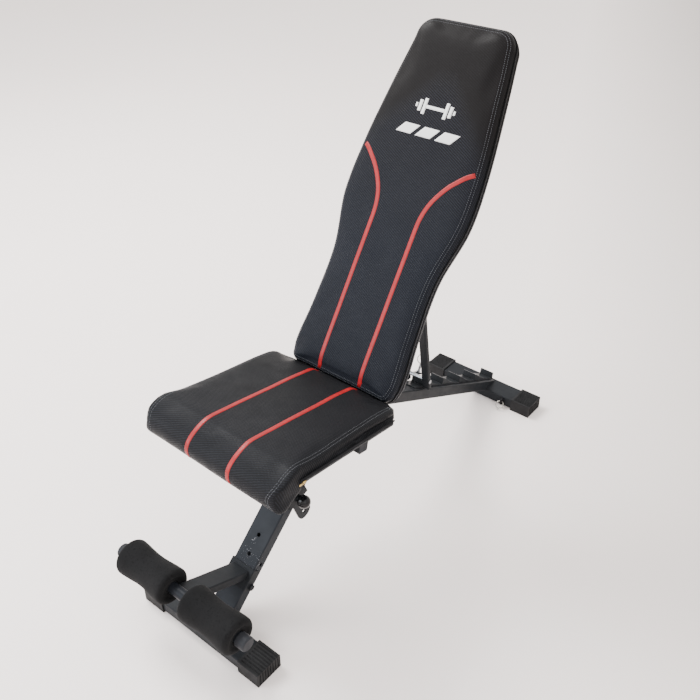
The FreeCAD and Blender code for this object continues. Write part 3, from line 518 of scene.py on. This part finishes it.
def piping_tube(name, line, radius, place, material, body):
    """A round cord along a closed line of points, as in a seam's piping."""
    curve = bpy.data.curves.new(name, "CURVE")
    curve.dimensions = "3D"
    curve.bevel_depth = radius
    curve.bevel_resolution = 2
    spline = curve.splines.new("POLY")
    spline.points.add(len(line) - 1)
    for point, place_at in zip(spline.points, line):
        point.co = (*place_at, 1.0)
    spline.use_cyclic_u = True
    holder = bpy.data.objects.new(name + "_line", curve)
    bpy.context.scene.collection.objects.link(holder)
    bpy.context.view_layer.update()
    graph = bpy.context.evaluated_depsgraph_get()
    mesh = bpy.data.meshes.new_from_object(holder.evaluated_get(graph), depsgraph=graph)
    bpy.data.objects.remove(holder)
    made = put_in_scene(name, mesh, place)
    paint_with(made, material)
    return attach(made, body)


# ---------------------------------------------------------------- back cushion

# Its lower and upper ends and their corner radii, in mm in the back rest's own frame, and
# how far it sits off the middle of the bench.
BACK_LOW = -12.0
BACK_HIGH = 795.0
BACK_LOW_CORNER = 24.0
BACK_HIGH_CORNER = 46.0
BACK_SHIFT = -2.0
ABOVE_BACK = 120.0          # where rays towards the front panel start from
# (place along the pad, half width) in mm.
BACK_KNOTS = ((-12, 134), (30, 146), (134, 139), (262, 136.5), (386, 160), (497, 157), (660, 136),
              (795, 114))
# From the front panel's edge round the side to a hem on the rear: (inset, height) in mm.
BACK_SECTION = ((13, 61.4), (9.0, 61.0), (5.4, 59.6), (2.8, 57.2), (1.0, 53.8), (0.2, 49.8),
                (0.4, 45.5), (1.2, 41.5), (2.9, 38.6), (2.2, 36.0), (2.4, 30.5), (3.6, 26.0),
                (5.8, 23.4), (4.9, 20.6), (5.6, 15.0), (7.4, 9.0), (10.0, 4.0), (13.5, 0.6),
                (17.5, -1.2), (33.0, -1.2), (34.5, -0.6), (35.0, 0.8))


def back_half(along):
    """Half the cushion's width at a place along it."""
    return interpolate(BACK_KNOTS, along)


def corner_centre(along, radius):
    """The centre of a rounded corner that ends in the side at this place along."""
    return Vector((back_half(along) - radius, along))


def back_edge_points():
    """The right side of the outline from the lower end to the upper: point and normal."""
    low_centre = corner_centre(BACK_LOW + BACK_LOW_CORNER, BACK_LOW_CORNER)
    high_centre = corner_centre(BACK_HIGH - BACK_HIGH_CORNER, BACK_HIGH_CORNER)
    made = []
    for step in range(9):
        turn = math.radians(-90 + 90 * step / 9)
        way = Vector((math.cos(turn), math.sin(turn)))
        made.append((low_centre + way * BACK_LOW_CORNER, way))
    rows = 104
    for number in range(rows + 1):
        along = low_centre.y + (high_centre.y - low_centre.y) * number / rows
        slope = (back_half(along + 1) - back_half(along - 1)) / 2
        made.append((Vector((back_half(along), along)), Vector((1.0, -slope)).normalized()))
    for step in range(1, 10):
        turn = math.radians(90 * step / 9)
        way = Vector((math.cos(turn), math.sin(turn)))
        made.append((high_centre + way * BACK_HIGH_CORNER, way))
    return made


def back_loop(columns):
    """The whole outline, anticlockwise from the lower left: point and normal."""
    right = back_edge_points()
    left = [(Vector((-point.x, point.y)), Vector((-way.x, way.y))) for point, way in right]
    low = right[0][0].x
    high = right[-1][0].x
    lower = [(Vector((-low + 2 * low * n / columns, BACK_LOW)), Vector((0, -1)))
             for n in range(columns + 1)]
    upper = [(Vector((high - 2 * high * n / columns, BACK_HIGH)), Vector((0, 1)))
             for n in range(columns + 1)]
    return lower, right, upper, left[::-1]


def back_crown(x, along):
    """How far the front panel dishes or crowns, before the cloth takes over."""
    share = abs(x) / max(1.0, back_half(along))
    ends = smooth_between(along, BACK_LOW, 60) * smooth_between(BACK_HIGH - along, 0, 60)
    return 1.2 * ends * (1.0 - share ** 2)


def back_mesh():
    """The front panel as a grid, and the side and hem as rings round it."""
    columns = 38
    lower, right, upper, left = [[(point + Vector((BACK_SHIFT, 0)), way) for point, way in side]
                                 for side in back_loop(columns)]
    inset, height = BACK_SECTION[0]

    def inner(item):
        point, way = item
        return point - way * inset

    bottom = [inner(item) for item in lower]
    top = [inner(item) for item in upper][::-1]
    rights = [inner(item) for item in right]
    lefts = [inner(item) for item in left][::-1]
    rows = len(rights) - 1
    points, sheet, faces = [], [], []
    for row in range(rows + 1):
        v = row / rows
        for column in range(columns + 1):
            u = column / columns
            # A Coons patch between the four edges.
            spot = (lefts[row] * (1 - u) + rights[row] * u + bottom[column] * (1 - v)
                    + top[column] * v - bottom[0] * (1 - u) * (1 - v) - bottom[-1] * u * (1 - v)
                    - top[0] * (1 - u) * v - top[-1] * u * v)
            points.append(Vector((spot.x, spot.y, height + back_crown(spot.x, spot.y))))
            sheet.append(Vector((spot.x, spot.y, 0)))
    for row in range(rows):
        for column in range(columns):
            a = row * (columns + 1) + column
            faces.append((a, a + 1, a + columns + 2, a + columns + 1))
    rim = (list(range(columns + 1))
           + [row * (columns + 1) + columns for row in range(1, rows + 1)]
           + [rows * (columns + 1) + column for column in range(columns - 1, -1, -1)]
           + [row * (columns + 1) for row in range(rows - 1, 0, -1)])
    outline = lower + right[1:] + upper[1:] + left[1:-1]
    travelled = 0.0
    last = BACK_SECTION[0]
    for section in BACK_SECTION[1:]:
        travelled += math.hypot(section[0] - last[0], section[1] - last[1])
        last = section
        base = len(points)
        for index, (point, way) in enumerate(outline):
            spot = point - way * section[0]
            points.append(Vector((spot.x, spot.y, section[1])))
            first = points[rim[index]]
            sheet.append(Vector((first.x + way.x * travelled, first.y + way.y * travelled, 0)))
        count = len(outline)
        ring = rim if base == (rows + 1) * (columns + 1) else list(range(base - count, base))
        for index in range(count):
            following = (index + 1) % count
            faces.append((ring[index], base + index, base + following, ring[following]))
    faces.append(tuple(range(len(points) - len(outline), len(points))))
    return points, sheet, faces, outline


def back_weave(shade, across, along):
    """The twill covers the panel up to the curved stripes; above them the vinyl is plain."""
    side = shade.math("ABSOLUTE", across)
    limit = shade.ramp(side, 0.02, 0.15, 0.66, 0.52)
    return shade.ramp(shade.math("SUBTRACT", along, limit), -0.03, 0.03, 1.0, 0.22)


def build_back_cushion(cover, piping, red, grey):
    """The cushion with its trim; gives the tree of its surface, for the print on it."""
    points, sheet, faces, outline = back_mesh()
    pad = new_object("back_cushion", [point * MM for point in points], faces, BACK_PLACE)
    store_sheet(pad, [value * MM for value in sheet])
    inflate(pad, lambda point: 1.0 if point.z < 40 * MM else 0.0, pressure=3.5, most=4.5 * MM)
    for vertex in pad.data.vertices:
        spot = vertex.co
        ripple = noise.noise(Vector((spot.x * 16, spot.y * 13, 0.3)))
        if spot.z > 30 * MM:
            vertex.co.z += 0.7 * MM * ripple
    subdivide(pad, 2)
    paint_with(pad, cover)
    pad.data.materials.append(piping)
    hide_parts("back_pad")
    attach(pad, "back_rest")
    tree = surface_of(pad)
    for hand, side in (("left", -1), ("right", 1)):
        ribbon("back_stripe_" + hand, tree, back_stripe_path(side), BACK_PLACE, red, "back_rest")
    for name, inset in (("outer", 8.0), ("inner", 13.0)):
        path = back_ring_path(outline, inset)
        stitches("back_stitching_" + name, tree, path, BACK_PLACE, grey, "back_rest")
    for name, inset, height, radius in (("front", 1.5, 38.9, 1.6), ("rear", 4.6, 23.2, 1.4)):
        line = [Vector((*(point - way * inset), height)) * MM for point, way in outline]
        piping_tube("back_piping_" + name, line, radius * MM, BACK_PLACE, piping, "back_rest")
    return tree


# (place along the pad, distance from its middle) where a stripe sweeps out, in mm.
STRIPE_BEND = ((358, 56.4), (376, 57.6), (398, 62.0), (419, 70.0), (439, 81.5), (460, 97.0),
               (474, 111.0), (489, 127.5), (500, 145.0))


def back_stripe_path(side):
    """Straight up the pad, then sweeping out to the seam above the waist."""
    spine = [Vector((STRIPE_BEND[0][1], -2.0 + 8.0 * step)) for step in range(45)]
    for (y0, _), (y1, _) in zip(STRIPE_BEND, STRIPE_BEND[1:]):
        for step in range(4):
            at = y0 + (y1 - y0) * step / 4
            spine.append(Vector((interpolate(STRIPE_BEND, at), at)))
    path = []
    for index, spot in enumerate(spine):
        ahead = spine[min(index + 1, len(spine) - 1)] - spine[max(index - 1, 0)]
        across = Vector((ahead.y, -ahead.x)).normalized()
        outside = Vector((side * spot.x, spot.y, ABOVE_BACK)) * MM
        path.append((outside, Vector((0, 0, -1)), Vector((side * across.x, across.y, 0))))
    return path


def back_ring_path(outline, inset):
    """A closed path round the front panel, this far inside the outline."""
    path = []
    for point, way in list(outline) + [outline[0]]:
        spot = point - way * inset
        path.append((Vector((spot.x, spot.y, ABOVE_BACK)) * MM, Vector((0, 0, -1)), None))
    return path


# ---------------------------------------------------------------- seat cushion

# In mm in the seat's own frame: the board's top, the deck's height, the rear end, the
# radius of the rear corners, and how far the cushion sits off the middle of the bench.
SEAT_UNDER = 25.6
SEAT_TOP = 59.0
SEAT_REAR = 27.0
SEAT_CORNER = 54.0
SEAT_SHIFT = -3.5
# The cushion's side profile in the seat's own frame, with a radius at each corner, in mm.
SEAT_PROFILE = ((SEAT_REAR, SEAT_UNDER + 1, 5), (SEAT_REAR, 45, 6), (-8, SEAT_TOP - 2, 26),
                (-70, SEAT_TOP, 80), (-354, SEAT_TOP - 2, 62), (-380, 7, 29), (-353, -29, 19),
                (-300, 8, 12), (-294, SEAT_UNDER + 1, 4))
SEAT_HALF_FRONT = 185.0
SEAT_HALF_REAR = 177.5
SEAT_EDGE = 9.0             # rounding between the deck and a gusset
SEAT_STRIPE_OUT = 55.7      # from the middle of the bench to the middle of a stripe


def seat_half(along):
    """Half the cushion's width at a place along it: a taper with rounded ends."""
    share = (along + 300.0) / 318.0
    half = SEAT_HALF_FRONT + max(-0.15, share) * (SEAT_HALF_REAR - SEAT_HALF_FRONT)
    rear_bite = corner_bite(along - (SEAT_REAR - SEAT_CORNER), SEAT_CORNER)
    return half - rear_bite - corner_bite(-356.0 - along, 22.0)


def corner_bite(past, radius):
    """How much a rounded corner takes off the half width, past the start of its arc."""
    past = max(0.0, min(radius - 0.5, past))
    return radius - math.sqrt(radius ** 2 - past ** 2)


def rounded_line(corners, spacing):
    """Points at an even spacing round a closed outline with rounded corners."""
    spots = [(Vector((u, v)), radius) for u, v, radius in corners]
    line = []
    for index, (corner, radius) in enumerate(spots):
        back = (spots[index - 1][0] - corner).normalized()
        ahead = (spots[(index + 1) % len(spots)][0] - corner).normalized()
        half = 0.5 * back.angle(ahead)
        reach = radius / math.tan(half)
        centre = corner + (back + ahead).normalized() * (radius / math.sin(half))
        start = corner + back * reach - centre
        sweep = start.angle_signed(corner + ahead * reach - centre)
        count = max(3, int(abs(sweep) * radius / spacing))
        for step in range(count + 1):
            turned = start.copy()
            turned.rotate(Matrix.Rotation(-sweep * step / count, 2))
            line.append(centre + turned)
    return even_line(line, spacing)


def even_line(line, spacing):
    """The same closed line, with its points at an even spacing."""
    total = sum((b - a).length for a, b in zip(line, line[1:] + line[:1]))
    count = int(total / spacing)
    step = total / count
    made, carried = [], 0.0
    for a, b in zip(line, line[1:] + line[:1]):
        span = (b - a).length
        while carried < span:
            made.append(a.lerp(b, carried / span))
            carried += step
        carried -= span
    return made[:count]


def line_normals(line):
    """Outward ways at the points of a closed line."""
    count = len(line)
    made = []
    for index in range(count):
        along = line[(index + 1) % count] - line[index - 1]
        made.append(Vector((along.y, -along.x)).normalized())
    area = sum(a.x * b.y - b.x * a.y for a, b in zip(line, line[1:] + line[:1]))
    return made if area > 0 else [-way for way in made]


def seat_mesh():
    """A skin round the profile, rounded into two side gussets."""
    line = rounded_line(SEAT_PROFILE, 6.0)
    normals = line_normals(line)
    edge = [(SEAT_EDGE * (1 - math.sin(turn)), SEAT_EDGE * (1 - math.cos(turn)))
            for turn in (0, 0.4, 0.8, 1.2, math.pi / 2)]
    across = [-1 + 2 * n / 48 for n in range(49)]
    points, faces = [], []
    count = len(line)
    columns = 0
    for index in range(count):
        half = seat_half(line[index].x)
        row = []
        for gap, deep in reversed(edge):
            row.append((-(half - gap), deep))
        row += [(share * (half - SEAT_EDGE), 0.0) for share in across[1:-1]]
        for gap, deep in edge:
            row.append((half - gap, deep))
        columns = len(row)
        for x, deep in row:
            spot = line[index] - normals[index] * deep
            points.append(Vector((x + SEAT_SHIFT, spot.x, spot.y)))
    for index in range(count):
        following = (index + 1) % count
        for column in range(columns - 1):
            a = index * columns + column
            b = following * columns + column
            faces.append((a, a + 1, b + 1, b))
    for column in (0, columns - 1):
        ring = [index * columns + column for index in range(count)]
        faces.append(tuple(ring if column == 0 else reversed(ring)))
    return points, faces, line, normals


def along_line(line, spot):
    """Distance along the profile at its nearest point."""
    travelled, best, at = 0.0, 1e9, 0.0
    for a, b in zip(line, line[1:] + line[:1]):
        step = b - a
        span = step.length
        share = max(0.0, min(1.0, (spot - a).dot(step) / (span * span)))
        gap = (spot - a - step * share).length
        if gap < best:
            best, at = gap, travelled + span * share
        travelled += span
    return at


def seat_sheet(pad, line):
    """Weave coordinates: across and along the skin, or in the plane of a gusset."""
    pad.data.update()
    coarse = line[::3]
    made = []
    for vertex in pad.data.vertices:
        spot = vertex.co / MM
        if abs(vertex.normal.x) > 0.72:
            made.append(Vector((spot.z, spot.y, 0)) * MM)
        else:
            made.append(Vector((spot.x, along_line(coarse, Vector((spot.y, spot.z))), 0)) * MM)
    store_sheet(pad, made)


def seat_held(point):
    """The underside is stapled to the board, and the rest is free."""
    spot = point / MM
    return 1.0 if spot.y > -296 and spot.z < 30 else 0.0


def build_seat_cushion(cover, red, grey):
    points, faces, line, normals = seat_mesh()
    pad = new_object("seat_cushion", [point * MM for point in points], faces, SEAT_PLACE)
    recalc_normals(pad)
    shaped = pad.modifiers.new("even", "REMESH")
    shaped.mode = "VOXEL"
    shaped.voxel_size = 5.0 * MM
    settle(pad)
    inflate(pad, seat_held, pressure=3.5, most=5.0 * MM)
    shape_seat(pad)
    subdivide(pad, 1)
    seat_sheet(pad, line)
    for face in pad.data.polygons:
        face.use_smooth = True
    paint_with(pad, cover)
    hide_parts("seat_pad")
    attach(pad, "seat")
    tree = surface_of(pad)
    for hand, side in (("left", -1), ("right", 1)):
        path = seat_stripe_path(line, normals, side * SEAT_STRIPE_OUT)
        ribbon("seat_stripe_" + hand, tree, path, SEAT_PLACE, red, "seat")
        for row, inset in (("seat_stitching_", 13.0), ("seat_edge_stitching_", 18.5)):
            path = seat_side_path(line, normals, side, inset)
            stitches(row + hand, tree, path, SEAT_PLACE, grey, "seat")


def shape_seat(pad):
    """Soft waves on the deck, and a nose that hangs a little lower to the right."""
    for vertex in pad.data.vertices:
        spot = vertex.co / MM
        middle = spot.x - SEAT_SHIFT
        gap = seat_half(spot.y) - abs(middle)
        if gap > 16 and spot.z > 20:
            ripple = noise.noise(Vector((spot.x * 0.018, spot.y * 0.016, 1.7)))
            vertex.co.z += 0.9 * MM * ripple
        if spot.y < -300:
            hang = smooth_between(20.0 - spot.z, 0, 40) * smooth_between(middle, -170, 120)
            vertex.co.z -= 6.0 * MM * hang


def on_skin(spot, rear, low):
    """True on the deck and the nose, up to a place at the rear and down to a height."""
    return spot.x <= rear and spot.y >= low and (spot.y >= 30 or spot.x <= -340)


def skin_path(line, normals, x_at, rear, low):
    """Rays from outside onto the deck and the nose, in order from the rear."""
    path = []
    for spot, way in zip(line, normals):
        if on_skin(spot, rear, low):
            outward = Vector((0, way.x, way.y))
            outside = (Vector((x_at(spot), spot.x, spot.y)) + outward * 25) * MM
            path.append((outside, -outward, Vector((1, 0, 0)), spot))
    path.sort(key=lambda item: along_key(item[3]))
    return [item[:3] for item in path]


def seat_stripe_path(line, normals, x):
    return skin_path(line, normals, lambda spot: x, 8, -14)


def along_key(spot):
    """Orders the skin's points from the rear of the deck round the nose."""
    return -spot.x if spot.y > 30 and spot.x > -340 else 400 - spot.y


def seat_side_path(line, normals, side, inset):
    """Along the deck's long edge and over the nose, this far inside the edge."""
    def x_at(spot):
        return side * (seat_half(spot.x) - inset) + SEAT_SHIFT
    return skin_path(line, normals, x_at, 2, -18)


def seat_weave(shade, across, along):
    """The twill is plain to see on the nose and fades on the worn deck."""
    _, deck, out = shade.split(shade.place())
    on_deck = shade.math("MULTIPLY", shade.ramp(deck, -0.38, -0.10), shade.ramp(out, 0.03, 0.05))
    patchy = shade.ramp(shade.noise(9.0, 3.0), 0.35, 0.65, 0.15, 0.5)
    faded = shade.math("MULTIPLY", on_deck, shade.math("SUBTRACT", 1.0, patchy))
    return shade.math("SUBTRACT", 1.0, faded)


# ---------------------------------------------------------------- foam rollers

def build_roller(name, side, material):
    """A turned foam sleeve: waisted, with soft shoulders and hollowed ends."""
    low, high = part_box(name)
    centre = (low + high) / 2
    half = (high.x - low.x) / 2
    full = (high.z - low.z) / 2
    section = [(-half + 5 * MM, 13.2 * MM), (-half + 5 * MM, 21 * MM), (-half + 3.5 * MM, 24 * MM),
               (-half + 0.8 * MM, 27 * MM), (-half, full - 10 * MM)]
    for step in range(1, 9):
        turn = math.radians(90 * step / 8)
        section.append((-half + 10 * MM * (1 - math.cos(turn)),
                        full - 10 * MM + 10 * MM * math.sin(turn)))
    flat = half - 10 * MM
    waist = 4.2 * MM
    middle = []
    for step in range(1, 18):
        x = flat * (2 * step / 18 - 1)
        middle.append((x, full - waist * (0.5 + 0.5 * math.cos(math.pi * x / flat))))
    mirrored = [(-x, radius) for x, radius in reversed(section)]
    outline = section + middle + mirrored
    around = 96
    points, faces = [], []
    for x, radius in outline:
        for number in range(around):
            turn = 2 * math.pi * number / around
            way = Vector((0, math.cos(turn), math.sin(turn)))
            dent = noise.noise(Vector((x * 30 + side, way.y * 1.5, way.z * 1.5))) * 0.6 * MM
            points.append(centre + Vector((x, 0, 0)) + way * (radius + dent * (radius > 0.03)))
    rings = len(outline)
    for ring in range(rings):
        following = (ring + 1) % rings
        for number in range(around):
            after = (number + 1) % around
            faces.append((ring * around + number, ring * around + after,
                          following * around + after, following * around + number))
    made = new_object(name.replace("roller_foam", "foam_sleeve"), points, faces)
    recalc_normals(made)
    paint_with(made, material)
    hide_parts(name)
    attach(made, "roller_left" if side < 0 else "roller_right")


# ---------------------------------------------------------------- zip

def build_zip(tape_material, tooth_material, brass):
    """A woven tape with two rows of teeth, and the slider with its pull."""
    base = Vector((181.3, -312, 29.4)) * MM
    end = Vector((173.6, -14, 29.4)) * MM
    length = (end - base).length
    along = (end - base).normalized()
    side = Vector((along.y, -along.x, 0))
    up = Vector((0, 0, 1))
    pieces = bmesh.new()
    add_block(pieces, base + along * (length / 2), along, side, up, (length, 2.0 * MM, 8.6 * MM))
    tape = mesh_piece("zip_tape", pieces, SEAT_PLACE, tape_material, "seat")
    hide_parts("seat_zip")
    teeth = bmesh.new()
    pitch = 2.5 * MM
    for number in range(int(length / pitch)):
        for row in (-1, 1):
            at = base + along * (pitch * (number + 0.5 * (row > 0))) + side * 1.3 * MM
            add_block(teeth, at + up * (row * 0.9 * MM), along, side, up,
                      (1.3 * MM, 1.5 * MM, 2.6 * MM))
    mesh_piece("zip_teeth", teeth, SEAT_PLACE, tooth_material, "seat")
    flap = bmesh.new()
    add_block(flap, base + along * (length / 2) + up * 6.4 * MM + side * 0.9 * MM, along, side, up,
              (length + 6 * MM, 3.0 * MM, 4.0 * MM))
    mesh_piece("zip_flap", flap, SEAT_PLACE, tape_material, "seat", rounding=1.2 * MM)
    build_slider(brass)


def add_block(work, centre, along, side, up, size):
    """Eight corners and six faces of a block, added to a mesh under construction."""
    corners = []
    for a in (-0.5, 0.5):
        for b in (-0.5, 0.5):
            for c in (-0.5, 0.5):
                corners.append(work.verts.new(centre + along * (a * size[0]) + side * (b * size[1])
                                              + up * (c * size[2])))
    for face in ((0, 1, 3, 2), (4, 6, 7, 5), (0, 4, 5, 1), (2, 3, 7, 6), (0, 2, 6, 4),
                 (1, 5, 7, 3)):
        work.faces.new([corners[index] for index in face])


def mesh_piece(name, work, place, material, body, rounding=0.35 * MM):
    """Round the blocks' edges and make them one piece that rides on a body."""
    bmesh.ops.recalc_face_normals(work, faces=work.faces)
    bmesh.ops.bevel(work, geom=list(work.edges), offset=rounding, segments=2, affect="EDGES")
    mesh = bpy.data.meshes.new(name)
    work.to_mesh(mesh)
    work.free()
    made = put_in_scene(name, mesh, place)
    paint_with(made, material)
    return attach(made, body)


def build_slider(brass):
    """The slider's body, its bridge and its hanging pull."""
    low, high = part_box("zip_slider")
    middle = (low + high) / 2
    tilt = Matrix.Rotation(SEAT_TURN, 3, "X")
    along, side, up = tilt @ Vector((0, 1, 0)), Vector((1, 0, 0)), tilt @ Vector((0, 0, 1))
    work = bmesh.new()
    add_block(work, middle + along * 5 * MM, along, side, up, (9 * MM, 3.2 * MM, 6.4 * MM))
    add_block(work, middle + along * 5 * MM + side * 1.6 * MM, along, side, up,
              (4 * MM, 1.8 * MM, 2.4 * MM))
    add_block(work, middle - along * 4 * MM + side * 1.4 * MM, along, side, up,
              (12 * MM, 1.2 * MM, 4.4 * MM))
    slider = mesh_piece("zip_pull", work, Matrix.Identity(4), brass, "zip_slider",
                        rounding=0.5 * MM)
    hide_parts("zip_slider")


# ---------------------------------------------------------------- generic emblem

# (place across, place along, width, height, slant) of each printed block, in mm.
EMBLEM_BLOCKS = ((0, 604, 46, 7, 0), (-27, 604, 8, 34, 0), (27, 604, 8, 34, 0),
                 (-38, 604, 8, 24, 0), (38, 604, 8, 24, 0), (-47, 604, 5, 9, 0),
                 (47, 604, 5, 9, 0), (-48, 552, 38, 22, 9), (2, 552, 38, 22, 9),
                 (52, 552, 38, 22, 9))


def build_emblem(tree, white):
    """A plain printed dumbbell with three slanted bars under it, in place of any mark."""
    points, faces = [], []
    for x, along, wide, tall, slant in EMBLEM_BLOCKS:
        columns, rows = max(2, int(wide / 3)), max(2, int(tall / 3))
        base = len(points)
        for row in range(rows + 1):
            for column in range(columns + 1):
                v = row / rows - 0.5
                spot = Vector((x + wide * (column / columns - 0.5) + slant * v * 2,
                               along + tall * v, ABOVE_BACK)) * MM
                hit, _, _, _ = tree.ray_cast(spot, Vector((0, 0, -1)))
                points.append(hit + Vector((0, 0, 0.25 * MM)))
        for row in range(rows):
            for column in range(columns):
                a = base + row * (columns + 1) + column
                faces.append((a, a + 1, a + columns + 2, a + columns + 1))
    made = new_object("printed_emblem", points, faces, BACK_PLACE)
    solid = made.modifiers.new("thick", "SOLIDIFY")
    solid.thickness = 0.3 * MM
    solid.offset = -1.0
    settle(made)
    paint_with(made, white)
    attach(made, "back_rest")


# ---------------------------------------------------------------- build it all

def finish_nodes():
    """Give every carried-over node its material, by its slot in the record."""
    charcoal = paint("charcoal_paint", (0.0118, 0.0130, 0.0148), (0.0155, 0.0170, 0.0192))
    leg_spots = (((0.018, -0.3985, 0.1235), 0.026), ((-0.008, -0.391, 0.131), 0.019),
                 ((0.026, -0.386, 0.136), 0.015), ((0.0305, -0.390, 0.112), 0.018),
                 ((-0.004, -0.368, 0.152), 0.010))
    leg = paint("leg_paint", (0.0150, 0.0170, 0.0205), (0.0195, 0.0220, 0.0262), scuffs=leg_spots)
    looks = {
        "frame_paint": charcoal,
        "ladder_paint": paint("ladder_paint", (0.015, 0.0162, 0.018), (0.020, 0.0217, 0.0235), 0.36),
        "roller_bar_paint": paint("bar_paint", (0.0110, 0.0124, 0.0155), (0.0150, 0.0168, 0.0208), 0.40),
        "strut_steel": charcoal,
        "cap_rubber": plastic("cap_plastic", (0.0085, 0.0085, 0.009), 0.55),
        "plug_plastic": plastic("plug_plastic", (0.016, 0.017, 0.020), 0.5),
        "bolt_zinc": metal("zinc", (0.40, 0.41, 0.43), 0.32),
        "spring_steel": metal("spring_wire", (0.45, 0.45, 0.46), 0.3),
        "ring_steel": metal("nickel", (0.42, 0.40, 0.37), 0.30, (600.0, 600.0, 600.0)),
        "lug_black": paint("lug_paint", (0.010, 0.010, 0.011), (0.014, 0.014, 0.015)),
        "board_wood": stained_wood(),
        "knob_gloss": gloss_knob(),
    }
    own = {"front_leg": leg, "arm_bolt": charcoal, "arm_nut": charcoal}
    for entry in frame["record"]["subparts"]:
        thing = NODES[entry["node"]]
        look = own.get(entry["node"], looks.get(entry["material_slot"]))
        if look is not None:
            paint_with(thing, look)


def build_stage():
    floor = new_object("floor", [(-30, -30, 0), (30, -30, 0), (30, 30, 0), (-30, 30, 0)],
                       [(0, 1, 2, 3)])
    shade = Shader("floor_paper", 0.85, 0.0, Specular_IOR_Level=0.2)
    drift = shade.ramp(shade.noise(0.7, 3.0), 0.3, 0.7)
    paper = shade.mix(drift, rgb(0.965, 0.888, 0.853), rgb(0.99, 0.913, 0.878))
    # Painted shade: the paper is darkened towards +x and +y, a painted falloff of the light across the
    # floor.
    x, y, _ = shade.split(shade.place())
    painted_falloff_run = shade.math("MULTIPLY_ADD", y, 0.35, shade.math("MULTIPLY", x, 0.8))
    shade.colour(shade.mix(shade.ramp(painted_falloff_run, 0.30, 1.35), paper, rgb(0.46, 0.425, 0.40)))
    paint_with(floor, shade.material)
    world = bpy.data.worlds.new("studio")
    bpy.context.scene.world = world
    world.use_nodes = True
    sky = world.node_tree.nodes["Background"]
    sky.inputs["Color"].default_value = (1.0, 0.975, 0.960, 1.0)
    sky.inputs["Strength"].default_value = 1.95
    add_light("key", (-2.4, 0.0, 3.2), 1.5, 190)
    add_light("fill", (2.6, -1.8, 2.6), 2.8, 22)
    add_light("front", (-1.9, -2.8, 1.8), 2.0, 100, (0.86, 0.92, 1.0))


def add_light(name, at, size, power, tint=(1.0, 0.99, 0.98)):
    data = bpy.data.lights.new(name, "AREA")
    data.size = size
    data.energy = power
    data.color = tint
    lamp = bpy.data.objects.new(name, data)
    bpy.context.scene.collection.objects.link(lamp)
    lamp.location = at
    lamp.rotation_euler = (Vector((0, 0, 0.4)) - Vector(at)).to_track_quat("-Z", "Y").to_euler()


def build_camera():
    data = bpy.data.cameras.new("camera")
    data.lens = 43.39
    data.sensor_width = 36.0
    camera = bpy.data.objects.new("camera", data)
    bpy.context.scene.collection.objects.link(camera)
    azimuth, elevation, roll = math.radians(39.15), math.radians(35.2), math.radians(0.06)
    camera.location = (0.9549, -1.2121, 1.5490)
    camera.rotation_euler = (math.pi / 2 - elevation, roll, azimuth)
    bpy.context.scene.camera = camera


def build():
    finish_nodes()
    # The back cover's bluish tone is a painted reflection of cool light on the lower pad; the warmer
    # upper tone is the pad's own browner panel.
    back_cover = vinyl("back_vinyl_weave", back_weave, (0.0066, 0.0072, 0.0088),
                       upper=(0.0070, 0.0060, 0.0056))
    seat_cover = vinyl("seat_vinyl_weave", seat_weave)
    plain = vinyl("plain_vinyl", 0.0, rough=0.4)
    red = red_vinyl()
    grey = thread("grey_thread", (0.066, 0.072, 0.083))
    back_tree = build_back_cushion(back_cover, plain, red, grey)
    build_seat_cushion(seat_cover, red, grey)
    build_emblem(back_tree, white_print())
    sleeve = foam("foam_sleeve_skin")
    build_roller("roller_foam_left", -1, sleeve)
    build_roller("roller_foam_right", 1, sleeve)
    build_zip(plastic("zip_tape_cloth", (0.010, 0.010, 0.011), 0.8, 1800.0),
              plastic("zip_tooth_plastic", (0.05, 0.05, 0.052), 0.4),
              metal("brass", (0.68, 0.47, 0.17), 0.25))
    build_stage()
    build_camera()


build()
bpy.context.view_layer.update()
